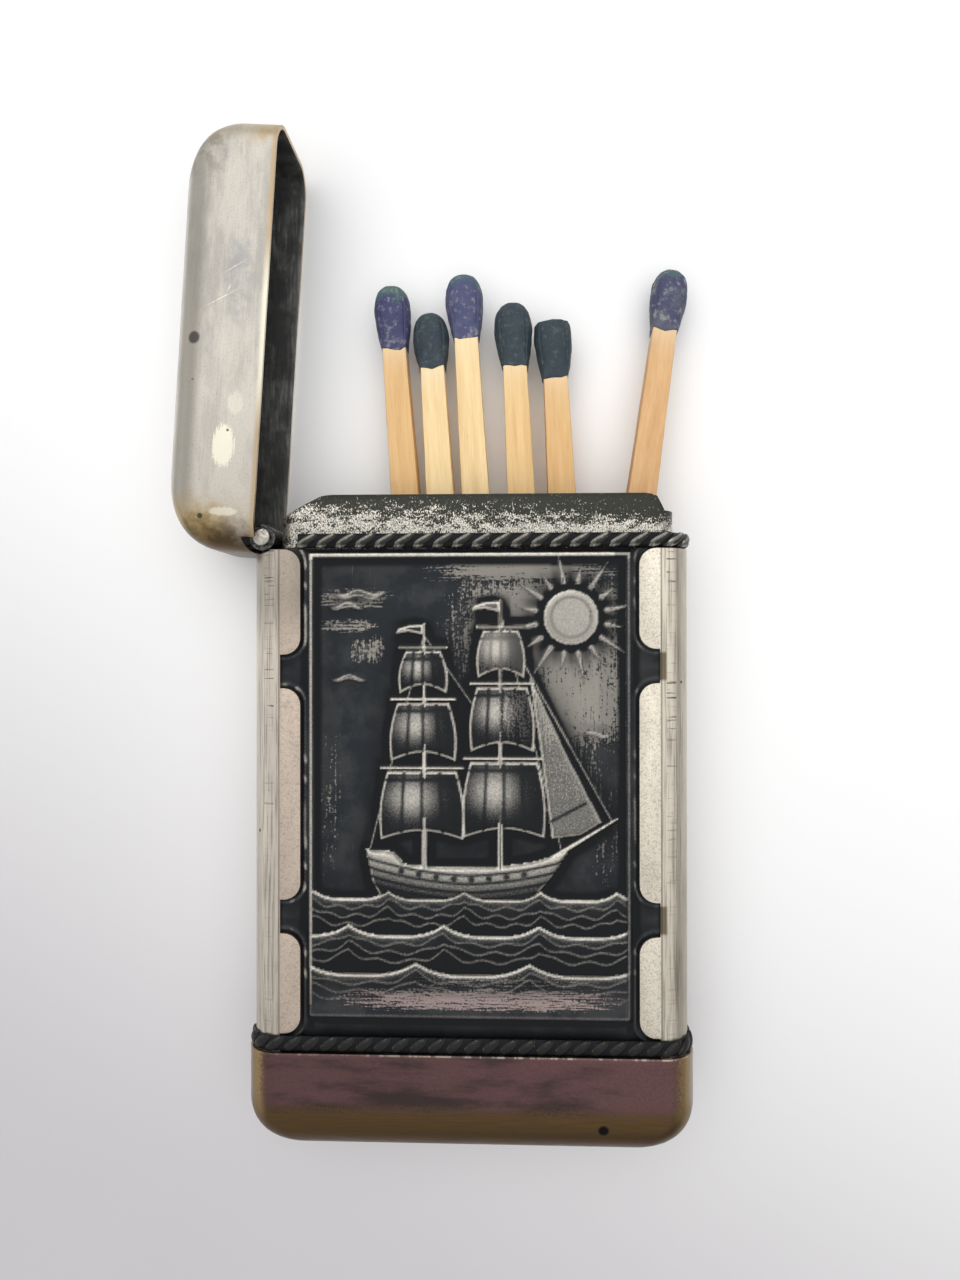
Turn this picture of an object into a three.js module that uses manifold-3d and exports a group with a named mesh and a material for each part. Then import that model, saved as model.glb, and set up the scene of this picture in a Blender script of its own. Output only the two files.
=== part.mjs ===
// Pocket match safe, lying on its back with the lid swung open and six matches standing out of it.
// Millimetres. +X to the right, +Y from the base towards the lid, +Z out of the front face.
// The origin is the centre of the base cap's flat end, at mid thickness.
import * as THREE from 'three';
import { mergeVertices } from 'three/addons/utils/BufferGeometryUtils.js';
import Module from 'manifold-3d';

const wasm = await Module();
wasm.setup();

// Sheet metal and clearances
const SHEET = 0.35;              // gauge of the sheet
const SEAM = 0.1;                // gap left at a soldered or folded seam
const RUNNING_GAP = 0.3;         // clearance round what turns or slides

// Case
const CASE_WIDTH = 36.4;         // across the two side bands
const THICKNESS = 11.2;          // over the base cap and the lid
const PANEL_HEIGHT = 40.2;       // side bands and picture panel, between the ropes
const EDGE_RADIUS = 2.7;         // long edges, seen along the case
const LOBE_REACH = 4.2;          // how far a band's lobes lie over the front, from its outer side
const NOTCH_REACH = 2.5;         // the same in the two notches
const END_LOBE = 8.3;            // length of the first and last lobe
const NOTCH_LENGTH = 2.8;        // length of a notch along the case
const LOBE_ROUND = 1.2;          // corners of the lobes

// Base cap
const CAP_HEIGHT = 8.3;          // from the flat end to the cap's rim
const CAP_ROUND_X = 4.3;         // corners of the end, seen from the front
const CAP_ROUND_Y = 4.1;         // how far those corners run along the case
const CAP_ROUND_Z = 2.9;         // rounding of the end, seen from the side
const CAP_FACE_Y = 3.0;          // how far that rounding runs along the case
const STRIKER_GROOVES = 20;      // grooves pressed into the flat end
const STRIKER_PITCH = 1.1;
const STRIKER_GROOVE = 0.45;     // width of one groove
const STRIKER_DEPTH = 0.15;
const STRIKER_MARGIN = 0.5;      // flat left in front of and behind the grooves

// Rope mouldings
const BOTTOM_ROPE = 1.25;        // height along the case
const TOP_ROPE = 1.2;
const TOP_ROPE_END = 1.35;       // out from the collar at the right end

// Neck collar
const NECK_HEIGHT = 4.65;        // above the panel's top edge
const NECK_LEDGE = 1.5;          // the low end walls lie this far below the neck's top
const NECK_SKIRT = 3.8;          // depth inside the panels
const NECK_END_GAP = 0.35;       // between the collar's right end and the shut lid's wall
const NECK_DRAW = 0.4;           // how far front and back lean in at the top
const NECK_DRAW_HEIGHT = 1.2;    // height over which they lean in
const NECK_CORNER = 1.2;         // the tall front and back step down to the ledge over this width
const NECK_SLOPE_WIDTH = 3.8;    // at the hinge end they slope down instead
const NECK_SLOPE_DROP = 2.1;

// Lid
const LID_DEPTH = 7.9;
const LID_ROUND_X = 5.2;
const LID_ROUND_Y = 4.8;
const LID_ROUND_Z = 2.5;
const LID_FACE_Y = 2.8;
const LID_OVERHANG = 0.45;       // past the left band's outer side, flush with the base cap
const LID_OPEN_DEGREES = 86.5;

// Hinge
const HINGE_INSET = 0.8;         // pin axis, in from the left band's outer side
const HINGE_BELOW_RIM = 0.5;     // pin axis, below the shut lid's rim
const KNUCKLE_RADIUS = 1.1;
const PIN_RADIUS = 0.5;
const PIN_FIT = 0.08;            // radial clearance of the pin in the knuckles
const PIN_HEAD_RADIUS = 0.72;
const PIN_HEAD_HEIGHT = 0.4;
const LID_KNUCKLE_LENGTH = 3;
const CASE_KNUCKLE_LENGTH = 2.5;
const LEAF_LENGTH = 9;           // case leaf, down from the pin axis
const SPRING_THICKNESS = 0.25;
const SPRING_WIDTH = 2.6;
const RIVET_RADIUS = 0.45;
const RIVET_HEAD_RADIUS = 0.85;
const RIVET_HEAD_HEIGHT = 0.35;
const RIVET_FROM_END = 1.5;      // rivet, up from the leaf's lower end

// Matches
const MATCH_LENGTH = 50;
const STICK = 2.5;               // square section
const HEAD_LENGTH = 5.6;
const HEAD_RADIUS = 1.7;
const HEAD_FOOT_RADIUS = 1.3;    // where the head meets the stick
const HEAD_WIDEST = 3.1;         // height of the widest place above the foot
const BROKEN_OFF = 0.9;          // missing from the tip of a chipped head
const HEAD_STAGGER = 0.25;       // neighbours at different heights stand this much closer than two heads
const LAST_MATCH_INSET = 2.2;   // last match, in from the collar's right end
const LAST_MATCH_DIP = 5;        // degrees that its head tilts down towards the surface below

// Frame line and relief of the panels
const FRAME_SIDE = 0.65;         // frame line, in from the edge of the lobes
const FRAME_TOP = 0.3;           // frame line, in from the panel's top edge
const FRAME_BOTTOM = 1.4;        // frame line, in from the panel's bottom edge
const FRAME_WIDTH = 0.35;
const FRAME_RISE = 0.22;
const CARTOUCHE_HALF_X = 8.5;    // blank oval on the back
const CARTOUCHE_HALF_Y = 12;
const CARTOUCHE_RISE = 0.3;

// The picture is a two-masted ship on rolling waves under a low sun. Waves are levels above the frame
// line's lower edge, the ship's points are measured from the middle of its waterline, and the sun from
// the frame's upper right corner.
const SEA_HEIGHT = 9.6;
const WAVES = [
  { level: 9.8, swell: 0.7, pitch: 6.3, shift: 0.4, rise: 0.12 },
  { level: 6.8, swell: 0.9, pitch: 7.9, shift: 2.1, rise: 0.22 },
  { level: 3.6, swell: 1.0, pitch: 9.4, shift: 4.4, rise: 0.32 },
];
const HULL = [[-8.6, 4.2], [-7.9, 0], [5.2, 0], [8.4, 4.4], [5.6, 3.2], [-5.4, 3.0]];
const HULL_RISE = 0.42;
const AFT_MAST_X = -3.6;
const AFT_MAST_TOP = 22.8;
const FORE_MAST_X = 2.6;
const FORE_MAST_TOP = 24.8;
const MAST_FOOT = 3;
const MASTS = [{ x: AFT_MAST_X, top: AFT_MAST_TOP }, { x: FORE_MAST_X, top: FORE_MAST_TOP }];
const MAST_WIDTH = 0.5;
const MAST_RISE = 0.3;
const SAILS = [
  [[-7.6, 5.0], [-0.8, 5.0], [-1.3, 10.8], [-7.0, 10.8]],
  [[-6.8, 11.5], [-1.4, 11.5], [-1.9, 16.5], [-6.2, 16.5]],
  [[-6.0, 17.1], [-2.0, 17.1], [-2.5, 20.8], [-5.4, 20.8]],
  [[-0.4, 5.2], [6.2, 5.2], [5.6, 11.6], [-0.1, 11.6]],
  [[0.1, 12.3], [5.4, 12.3], [4.8, 17.8], [0.5, 17.8]],
  [[0.7, 18.4], [4.6, 18.4], [4.1, 22.5], [1.1, 22.5]],
  [[6.7, 5.0], [11.0, 6.0], [4.6, 19.2]],
];
const SAIL_ROUND = 0.8;
const SAIL_RISE = 0.38;
const SUN = { inX: 4.9, inY: 5.4, radius: 2.3, rise: 0.2 };

// Levels through the thickness, one inside the next: cap and lid, bands, panels, the collar's skirt
const NEST = SHEET + SEAM;
const CAP_HALF_X = CASE_WIDTH / 2 + NEST;
const CAP_HALF_Z = THICKNESS / 2;
const BAND_HALF_X = CASE_WIDTH / 2;
const BAND_HALF_Z = CAP_HALF_Z - NEST;
const BAND_RADIUS = EDGE_RADIUS - NEST;
const PANEL_FACE_Z = BAND_HALF_Z - NEST;
const PANEL_BACK_Z = PANEL_FACE_Z - SHEET;
const SKIRT_HALF_Z = PANEL_BACK_Z - SEAM;

// The panels reach into the bands' folded edges until the inner curve of the fold stops them
const FOLD_RADIUS = BAND_RADIUS - SHEET;
const FOLD_ROOM = Math.sqrt(FOLD_RADIUS ** 2 - (FOLD_RADIUS - SEAM) ** 2);
const PANEL_HALF_X = BAND_HALF_X - SHEET - FOLD_RADIUS + FOLD_ROOM - SEAM;

// Levels along the case
const BOTTOM_ROPE_Y = CAP_HEIGHT + SEAM;
const PANEL_Y0 = BOTTOM_ROPE_Y + BOTTOM_ROPE + SEAM;
const PANEL_Y1 = PANEL_Y0 + PANEL_HEIGHT;
const TOP_ROPE_Y = PANEL_Y1 + SEAM;
const LID_RIM_Y = TOP_ROPE_Y + TOP_ROPE + RUNNING_GAP;
const NECK_TOP_Y = PANEL_Y1 + NECK_HEIGHT;
const BODY_FOOT_Y = CAP_ROUND_Y + RUNNING_GAP;

// Pin axis, and the collar's two ends
const HINGE_X = -(BAND_HALF_X - HINGE_INSET);
const HINGE_Y = LID_RIM_Y - HINGE_BELOW_RIM;
const HINGE_CLEAR = KNUCKLE_RADIUS + RUNNING_GAP;
const COLLAR_LEFT = HINGE_X + HINGE_CLEAR;
const COLLAR_RIGHT = BAND_HALF_X - LID_OVERHANG - SHEET - NECK_END_GAP;
const COLLAR_X = (COLLAR_LEFT + COLLAR_RIGHT) / 2;
const COLLAR_HALF_X = (COLLAR_RIGHT - COLLAR_LEFT) / 2;
const COLLAR_RADIUS = EDGE_RADIUS - 2 * NEST;

// Mesh fineness, and a length that reaches past everything for cutting tools
const CORNER_STEPS = 5;
const END_STEPS = 7;
const HEAD_STEPS = 6;
const ROUND_SIDES = 24;
const CURVE_STEPS = 4;
const REACH = 100;

// One finish for each kind of piece
const FINISH = {
  nickel: { color: 0xb9b3a4, roughness: 0.32, metalness: 1 },
  lid: { color: 0xa99a86, roughness: 0.36, metalness: 1 },
  cap: { color: 0x8b6f5c, roughness: 0.4, metalness: 1 },
  blackened: { color: 0x24262c, roughness: 0.45, metalness: 1 },
  steel: { color: 0x8f9094, roughness: 0.35, metalness: 1 },
  wood: { color: 0xc79a66, roughness: 0.75, metalness: 0 },
  purple: { color: 0x5a3550, roughness: 0.85, metalness: 0 },
  teal: { color: 0x1d3a40, roughness: 0.85, metalness: 0 },
};

// Booleans
function solidOf(geometry) {
  const bare = geometry.clone();
  bare.deleteAttribute('normal');
  bare.deleteAttribute('uv');
  const merged = mergeVertices(bare);
  return new wasm.Manifold(new wasm.Mesh({
    numProp: 3,
    vertProperties: new Float32Array(merged.attributes.position.array),
    triVerts: new Uint32Array(merged.index.array),
  }));
}

function geometryOf(solid) {
  const mesh = solid.getMesh();
  const geometry = new THREE.BufferGeometry();
  geometry.setAttribute('position', new THREE.BufferAttribute(mesh.vertProperties, 3));
  geometry.setIndex(new THREE.BufferAttribute(mesh.triVerts, 1));
  geometry.computeVertexNormals();
  return geometry;
}

function join(...geometries) {
  return geometryOf(geometries.map(solidOf).reduce((whole, next) => whole.add(next)));
}

function cut(geometry, ...tools) {
  return geometryOf(tools.map(solidOf).reduce((rest, tool) => rest.subtract(tool), solidOf(geometry)));
}

function keep(geometry, region) {
  return geometryOf(solidOf(geometry).intersect(solidOf(region)));
}

// Plain solids
function box(x0, x1, y0, y1, z0, z1) {
  const geometry = new THREE.BoxGeometry(x1 - x0, y1 - y0, z1 - z0);
  return geometry.translate((x0 + x1) / 2, (y0 + y1) / 2, (z0 + z1) / 2);
}

function rodAlongZ(radius, z0, z1, x = 0, y = 0) {
  const geometry = new THREE.CylinderGeometry(radius, radius, z1 - z0, ROUND_SIDES);
  return geometry.rotateX(Math.PI / 2).translate(x, y, (z0 + z1) / 2);
}

function rodAlongX(radius, x0, x1, y) {
  const geometry = new THREE.CylinderGeometry(radius, radius, x1 - x0, ROUND_SIDES);
  return geometry.rotateZ(Math.PI / 2).translate((x0 + x1) / 2, y, 0);
}

function plateAlongZ(shape, z0, z1) {
  const options = { depth: z1 - z0, bevelEnabled: false, curveSegments: CURVE_STEPS };
  return new THREE.ExtrudeGeometry(shape, options).translate(0, 0, z0);
}

// Outline through corner points [x, y, radius], each corner rounded by its own radius
function roundedOutline(corners) {
  const shape = new THREE.Shape();
  const count = corners.length;
  corners.forEach(([x, y, radius = 0], i) => {
    const corner = new THREE.Vector2(x, y);
    const before = new THREE.Vector2(...corners[(i + count - 1) % count]).sub(corner).setLength(radius);
    const after = new THREE.Vector2(...corners[(i + 1) % count]).sub(corner).setLength(radius);
    const start = corner.clone().add(before);
    const end = corner.clone().add(after);
    if (i === 0) shape.moveTo(start.x, start.y);
    else shape.lineTo(start.x, start.y);
    if (radius > 0) shape.quadraticCurveTo(x, y, end.x, end.y);
  });
  shape.closePath();
  return shape;
}

// Drawn sheet: rings of a rounded rectangle, set along the case and skinned
function ring(y, halfX, halfZ, radius, centreX = 0) {
  const points = [];
  const quarters = [[1, 1], [-1, 1], [-1, -1], [1, -1]];
  quarters.forEach(([sideX, sideZ], quarter) => {
    for (let step = 0; step <= CORNER_STEPS; step += 1) {
      const angle = (quarter + step / CORNER_STEPS) * Math.PI / 2;
      const x = centreX + sideX * (halfX - radius) + radius * Math.cos(angle);
      const z = sideZ * (halfZ - radius) + radius * Math.sin(angle);
      points.push(new THREE.Vector3(x, y, z));
    }
  });
  return points;
}

function skin(rings, closeEnds) {
  const count = rings[0].length;
  const vertices = rings.flat();
  const faces = [];
  const strips = closeEnds ? rings.length - 1 : rings.length;
  for (let i = 0; i < strips; i += 1) {
    const here = i * count;
    const there = ((i + 1) % rings.length) * count;
    for (let j = 0; j < count; j += 1) {
      const next = (j + 1) % count;
      faces.push(here + j, there + j, there + next, here + j, there + next, here + next);
    }
  }
  if (closeEnds) {
    [0, rings.length - 1].forEach((end) => {
      const centre = new THREE.Vector3();
      rings[end].forEach((point) => centre.addScaledVector(point, 1 / count));
      vertices.push(centre);
      const hub = vertices.length - 1;
      for (let j = 0; j < count; j += 1) {
        const a = end * count + j;
        const b = end * count + (j + 1) % count;
        if (end === 0) faces.push(hub, a, b);
        else faces.push(hub, b, a);
      }
    });
  }
  return facingOut(vertices, faces);
}

function facingOut(vertices, faces) {
  let volume = 0;
  for (let i = 0; i < faces.length; i += 3) {
    const [a, b, c] = [vertices[faces[i]], vertices[faces[i + 1]], vertices[faces[i + 2]]];
    volume += a.dot(b.clone().cross(c));
  }
  if (volume < 0) faces.reverse();
  const geometry = new THREE.BufferGeometry();
  const flat = new Float32Array(vertices.flatMap((point) => [point.x, point.y, point.z]));
  geometry.setAttribute('position', new THREE.BufferAttribute(flat, 3));
  geometry.setIndex(faces);
  geometry.computeVertexNormals();
  return geometry;
}

// A drawn cup: open rim at rimY, flat closed end at endY, rounded between the two.
// The outer rings run from rim to end and the inner rings back to the rim.
function drawnCup({ rimY, endY, halfX, halfZ, roundX, roundY, roundZ, faceY, centreX = 0 }) {
  const way = Math.sign(endY - rimY);
  const wall = (inset) => {
    const rings = [ring(rimY, halfX - inset, halfZ - inset, EDGE_RADIUS - inset, centreX)];
    for (let step = 0; step <= END_STEPS; step += 1) {
      const angle = (step / END_STEPS) * Math.PI / 2;
      const drawn = 1 - Math.cos(angle);
      const toEnd = (roundY - inset) * (1 - Math.sin(angle));
      const share = Math.max(0, 1 - toEnd / (faceY - inset));
      const ringHalfX = halfX - inset - (roundX - inset) * drawn;
      const ringHalfZ = halfZ - inset - (roundZ - inset) * (1 - Math.sqrt(1 - share * share));
      const y = endY - way * (inset + toEnd);
      rings.push(ring(y, ringHalfX, ringHalfZ, Math.min(EDGE_RADIUS - inset, ringHalfZ), centreX));
    }
    return rings;
  };
  const capped = (inset) => skin(wall(inset), true);
  const mouth = wall(SHEET)[0].map((point) => point.clone().setY(rimY - way * RUNNING_GAP));
  const hollow = skin([mouth, ...wall(SHEET)], true);
  return cut(capped(0), hollow);
}

const safe = new THREE.Group();

function addPiece(name, geometry, finish, parent = safe) {
  const mesh = new THREE.Mesh(geometry, new THREE.MeshStandardMaterial(FINISH[finish]));
  mesh.name = name;
  parent.add(mesh);
  return mesh;
}

// Base cap with the striker grooves pressed into its end
function baseCap() {
  const cup = drawnCup({
    rimY: CAP_HEIGHT,
    endY: 0,
    halfX: CAP_HALF_X,
    halfZ: CAP_HALF_Z,
    roundX: CAP_ROUND_X,
    roundY: CAP_ROUND_Y,
    roundZ: CAP_ROUND_Z,
    faceY: CAP_FACE_Y,
  });
  const grooveHalfZ = CAP_HALF_Z - CAP_ROUND_Z - STRIKER_MARGIN;
  const grooves = [];
  for (let i = 0; i < STRIKER_GROOVES; i += 1) {
    const x = (i - (STRIKER_GROOVES - 1) / 2) * STRIKER_PITCH;
    const half = STRIKER_GROOVE / 2;
    grooves.push(box(x - half, x + half, -RUNNING_GAP, STRIKER_DEPTH, -grooveHalfZ, grooveHalfZ));
  }
  return cut(cup, ...grooves);
}

// Side band: a strip folded round one long edge, its flanges ending in three lobes
function bandOutline(side) {
  const outer = BAND_HALF_X + RUNNING_GAP;
  const lobe = BAND_HALF_X - LOBE_REACH;
  const notch = BAND_HALF_X - NOTCH_REACH;
  const lowerNotch = PANEL_Y0 + END_LOBE;
  const upperNotch = PANEL_Y1 - END_LOBE;
  const corners = [
    [outer, BODY_FOOT_Y, 0],
    [outer, PANEL_Y1, 0],
    [lobe, PANEL_Y1, LOBE_ROUND],
    [lobe, upperNotch, LOBE_ROUND],
    [notch, upperNotch, 0],
    [notch, upperNotch - NOTCH_LENGTH, 0],
    [lobe, upperNotch - NOTCH_LENGTH, LOBE_ROUND],
    [lobe, lowerNotch + NOTCH_LENGTH, LOBE_ROUND],
    [notch, lowerNotch + NOTCH_LENGTH, 0],
    [notch, lowerNotch, 0],
    [lobe, lowerNotch, LOBE_ROUND],
    [lobe, PANEL_Y0, LOBE_ROUND],
    [notch, PANEL_Y0, 0],
    [notch, BODY_FOOT_Y, 0],
  ];
  return roundedOutline(corners.map(([x, y, radius]) => [side * x, y, radius]));
}

function sideBand(side) {
  const sleeve = (inset, y0, y1) => skin([y0, y1].map((y) => (
    ring(y, BAND_HALF_X - inset, BAND_HALF_Z - inset, BAND_RADIUS - inset)
  )), true);
  const tube = cut(
    sleeve(0, BODY_FOOT_Y, PANEL_Y1),
    sleeve(SHEET, BODY_FOOT_Y - RUNNING_GAP, PANEL_Y1 + RUNNING_GAP),
  );
  return keep(tube, plateAlongZ(bandOutline(side), -CAP_HALF_Z, CAP_HALF_Z));
}

// Panels: sheet with a frame line, a seat for the lower rope and a low relief
const FRAME_HALF_X = BAND_HALF_X - LOBE_REACH - FRAME_SIDE;
const FRAME_Y0 = PANEL_Y0 + FRAME_BOTTOM;
const FRAME_Y1 = PANEL_Y1 - FRAME_TOP;

function raised(shape, rise) {
  return plateAlongZ(shape, PANEL_FACE_Z - SHEET / 2, PANEL_FACE_Z + rise);
}

function rectangle(halfX, y0, y1) {
  return roundedOutline([[-halfX, y0], [halfX, y0], [halfX, y1], [-halfX, y1]]);
}

function panelSheet() {
  const sheet = plateAlongZ(rectangle(PANEL_HALF_X, BODY_FOOT_Y, PANEL_Y1), PANEL_BACK_Z, PANEL_FACE_Z);
  const line = rectangle(FRAME_HALF_X, FRAME_Y0, FRAME_Y1);
  line.holes.push(rectangle(FRAME_HALF_X - FRAME_WIDTH, FRAME_Y0 + FRAME_WIDTH, FRAME_Y1 - FRAME_WIDTH));
  const seatHalfX = BAND_HALF_X - LOBE_REACH - SEAM;
  const seat = rectangle(seatHalfX, BOTTOM_ROPE_Y, BOTTOM_ROPE_Y + BOTTOM_ROPE);
  return [sheet, raised(line, FRAME_RISE), raised(seat, BAND_HALF_Z - PANEL_FACE_Z)];
}

function waveShape({ level, swell, pitch, shift }) {
  const shape = new THREE.Shape();
  shape.moveTo(FRAME_HALF_X, FRAME_Y0);
  shape.lineTo(-FRAME_HALF_X, FRAME_Y0);
  const steps = Math.round(2 * FRAME_HALF_X / pitch) * CURVE_STEPS * 2;
  for (let i = 0; i <= steps; i += 1) {
    const x = FRAME_HALF_X * (2 * i / steps - 1);
    const trough = Math.abs(Math.sin(Math.PI * (x + shift) / pitch));
    shape.lineTo(x, FRAME_Y0 + level + swell * (1 - trough));
  }
  shape.closePath();
  return shape;
}

function shipOutline(points, radius = 0) {
  return roundedOutline(points.map(([x, y]) => [x, FRAME_Y0 + SEA_HEIGHT + y, radius]));
}

function frontPanel() {
  const half = MAST_WIDTH / 2;
  const masts = MASTS.map(({ x, top }) => (
    raised(shipOutline([[x - half, MAST_FOOT], [x + half, MAST_FOOT], [x, top]]), MAST_RISE)
  ));
  const disc = new THREE.Shape();
  disc.absarc(FRAME_HALF_X - SUN.inX, FRAME_Y1 - SUN.inY, SUN.radius, 0, 2 * Math.PI);
  const relief = join(
    ...WAVES.map((wave) => raised(waveShape(wave), wave.rise)),
    raised(shipOutline(HULL), HULL_RISE),
    ...masts,
    ...SAILS.map((points) => raised(shipOutline(points, SAIL_ROUND), SAIL_RISE)),
    raised(disc, SUN.rise),
  );
  const inside = rectangle(FRAME_HALF_X - FRAME_WIDTH / 2, FRAME_Y0, FRAME_Y1);
  return join(...panelSheet(), keep(relief, plateAlongZ(inside, 0, THICKNESS)));
}

// The back carries a blank oval cartouche instead of a picture
function backPanel() {
  const oval = new THREE.Shape();
  oval.absellipse(0, (FRAME_Y0 + FRAME_Y1) / 2, CARTOUCHE_HALF_X, CARTOUCHE_HALF_Y, 0, 2 * Math.PI);
  return join(...panelSheet(), raised(oval, CARTOUCHE_RISE)).rotateY(Math.PI);
}

// Ropes: plain rounded beads round the case
function bead(y, height, outer, inner, centreX) {
  const middle = y + height / 2;
  const soft = height / 4;
  const lip = { halfX: (outer.halfX + inner.halfX) / 2, halfZ: (outer.halfZ + inner.halfZ) / 2 };
  const at = (level, size) => ring(level, size.halfX, size.halfZ, size.radius, centreX);
  return skin([
    at(y, inner),
    at(y, { ...lip, radius: outer.radius }),
    at(middle - soft, outer),
    at(middle + soft, outer),
    at(y + height, { ...lip, radius: outer.radius }),
    at(y + height, inner),
  ], false);
}

function bottomRope() {
  const inner = { halfX: BAND_HALF_X + SEAM, halfZ: BAND_HALF_Z + SEAM, radius: BAND_RADIUS + SEAM };
  const outer = { halfX: CAP_HALF_X, halfZ: CAP_HALF_Z, radius: EDGE_RADIUS };
  return bead(BOTTOM_ROPE_Y, BOTTOM_ROPE, outer, inner, 0);
}

// As deep as the base cap, so that the case lies level on its back
function topRope() {
  const inner = { halfX: COLLAR_HALF_X + SEAM, halfZ: PANEL_FACE_Z + SEAM, radius: COLLAR_RADIUS + SEAM };
  const outer = {
    halfX: inner.halfX + TOP_ROPE_END,
    halfZ: CAP_HALF_Z,
    radius: EDGE_RADIUS,
  };
  const whole = bead(TOP_ROPE_Y, TOP_ROPE, outer, inner, COLLAR_X);
  const hingeEnd = box(-REACH, COLLAR_LEFT + COLLAR_RADIUS, 0, REACH, -REACH, REACH);
  return cut(whole, hingeEnd);
}

// Neck collar: tall tongues at front and back, low walls at the ends
function neckOutline() {
  const ledge = NECK_TOP_Y - NECK_LEDGE;
  const foot = PANEL_Y1 - NECK_SKIRT - RUNNING_GAP;
  const left = COLLAR_LEFT - RUNNING_GAP;
  const right = COLLAR_RIGHT + RUNNING_GAP;
  const top = NECK_TOP_Y + RUNNING_GAP;
  const slope = NECK_SLOPE_WIDTH / NECK_SLOPE_DROP;
  const innerRight = COLLAR_RIGHT - NECK_CORNER;
  return roundedOutline([
    [left, foot],
    [right, foot],
    [right, ledge],
    [innerRight + SHEET, ledge],
    [innerRight - NECK_CORNER / 2, top, NECK_CORNER / 2],
    [COLLAR_LEFT + NECK_SLOPE_WIDTH + RUNNING_GAP * slope, top, NECK_CORNER],
    [left, NECK_TOP_Y - NECK_SLOPE_DROP - RUNNING_GAP / slope],
  ]);
}

function neckCollar() {
  const levels = (inset) => [
    [PANEL_Y1 - NECK_SKIRT, SKIRT_HALF_Z],
    [PANEL_Y1 + inset, SKIRT_HALF_Z],
    [TOP_ROPE_Y + inset, PANEL_FACE_Z],
    [NECK_TOP_Y - NECK_DRAW_HEIGHT, PANEL_FACE_Z],
    [NECK_TOP_Y, PANEL_FACE_Z - NECK_DRAW],
  ].map(([y, halfZ]) => ring(y, COLLAR_HALF_X - inset, halfZ - inset, COLLAR_RADIUS - inset, COLLAR_X));
  const tube = skin([...levels(0), ...levels(SHEET).reverse()], false);
  return keep(tube, plateAlongZ(neckOutline(), -CAP_HALF_Z, CAP_HALF_Z));
}

// Hinge: two case knuckles, one lid knuckle between them, and the pin through all three
const LID_KNUCKLE_HALF = LID_KNUCKLE_LENGTH / 2;
const CASE_KNUCKLE_Z0 = LID_KNUCKLE_HALF + RUNNING_GAP;
const CASE_KNUCKLE_Z1 = CASE_KNUCKLE_Z0 + CASE_KNUCKLE_LENGTH;
const PIN_END_Z = CASE_KNUCKLE_Z1 + SEAM + PIN_HEAD_HEIGHT;
const LEAF_X0 = -(BAND_HALF_X - NEST);
const LEAF_X1 = LEAF_X0 + SHEET;
const LEAF_Y0 = HINGE_Y - LEAF_LENGTH;
const RIVET_Y = LEAF_Y0 + RIVET_FROM_END;
const RIVET_HOLE = RIVET_RADIUS + SEAM / 2;
const LEAF_HALF_Z = BAND_HALF_Z - BAND_RADIUS;

function pinBore() {
  return rodAlongZ(PIN_RADIUS + PIN_FIT, -THICKNESS, THICKNESS, HINGE_X, HINGE_Y);
}

function rivetHole() {
  return rodAlongX(RIVET_HOLE, -BAND_HALF_X - RUNNING_GAP, COLLAR_LEFT, RIVET_Y);
}

function caseHingeLeaf() {
  const leafTop = HINGE_Y - HINGE_CLEAR;
  const leaf = box(LEAF_X0, LEAF_X1, LEAF_Y0, leafTop, -LEAF_HALF_Z, LEAF_HALF_Z);
  const knuckles = [-1, 1].flatMap((side) => {
    const [z0, z1] = [side * CASE_KNUCKLE_Z0, side * CASE_KNUCKLE_Z1].sort((a, b) => a - b);
    const [tongueZ0, tongueZ1] = [side * CASE_KNUCKLE_Z0, side * LEAF_HALF_Z].sort((a, b) => a - b);
    return [
      rodAlongZ(KNUCKLE_RADIUS, z0, z1, HINGE_X, HINGE_Y),
      box(LEAF_X0, LEAF_X1, leafTop - SHEET, HINGE_Y, tongueZ0, tongueZ1),
    ];
  });
  return cut(join(leaf, ...knuckles), pinBore(), rivetHole());
}

function hingePin() {
  const shank = rodAlongZ(PIN_RADIUS, -PIN_END_Z, PIN_END_Z, HINGE_X, HINGE_Y);
  const heads = [-1, 1].map((side) => {
    const [z0, z1] = [side * (PIN_END_Z - PIN_HEAD_HEIGHT), side * PIN_END_Z].sort((a, b) => a - b);
    return rodAlongZ(PIN_HEAD_RADIUS, z0, z1, HINGE_X, HINGE_Y);
  });
  return join(shank, ...heads);
}

// Leaf spring: riveted at its lower end, its tip just under the lid's knuckle
const SPRING_X0 = LEAF_X1 + SEAM;
const SPRING_X1 = SPRING_X0 + SPRING_THICKNESS;

function lidSpring() {
  const reachX = SPRING_X1 - HINGE_X;
  const tipDrop = Math.sqrt(Math.max(HINGE_CLEAR ** 2 - reachX ** 2, 0));
  const strip = box(SPRING_X0, SPRING_X1, LEAF_Y0, HINGE_Y - tipDrop, -SPRING_WIDTH / 2, SPRING_WIDTH / 2);
  const knuckleRoom = rodAlongZ(HINGE_CLEAR, -SPRING_WIDTH, SPRING_WIDTH, HINGE_X, HINGE_Y);
  return cut(strip, rivetHole(), knuckleRoom);
}

function springRivet() {
  const shank = rodAlongX(RIVET_RADIUS, -BAND_HALF_X, SPRING_X1 + SEAM + RIVET_HEAD_HEIGHT, RIVET_Y);
  const head = rodAlongX(RIVET_HEAD_RADIUS, SPRING_X1 + SEAM, SPRING_X1 + SEAM + RIVET_HEAD_HEIGHT, RIVET_Y);
  return join(shank, head);
}

function leftBand() {
  const knuckleRoom = rodAlongZ(HINGE_CLEAR, -THICKNESS, THICKNESS, HINGE_X, HINGE_Y);
  return cut(sideBand(-1), knuckleRoom, rivetHole());
}

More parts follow.
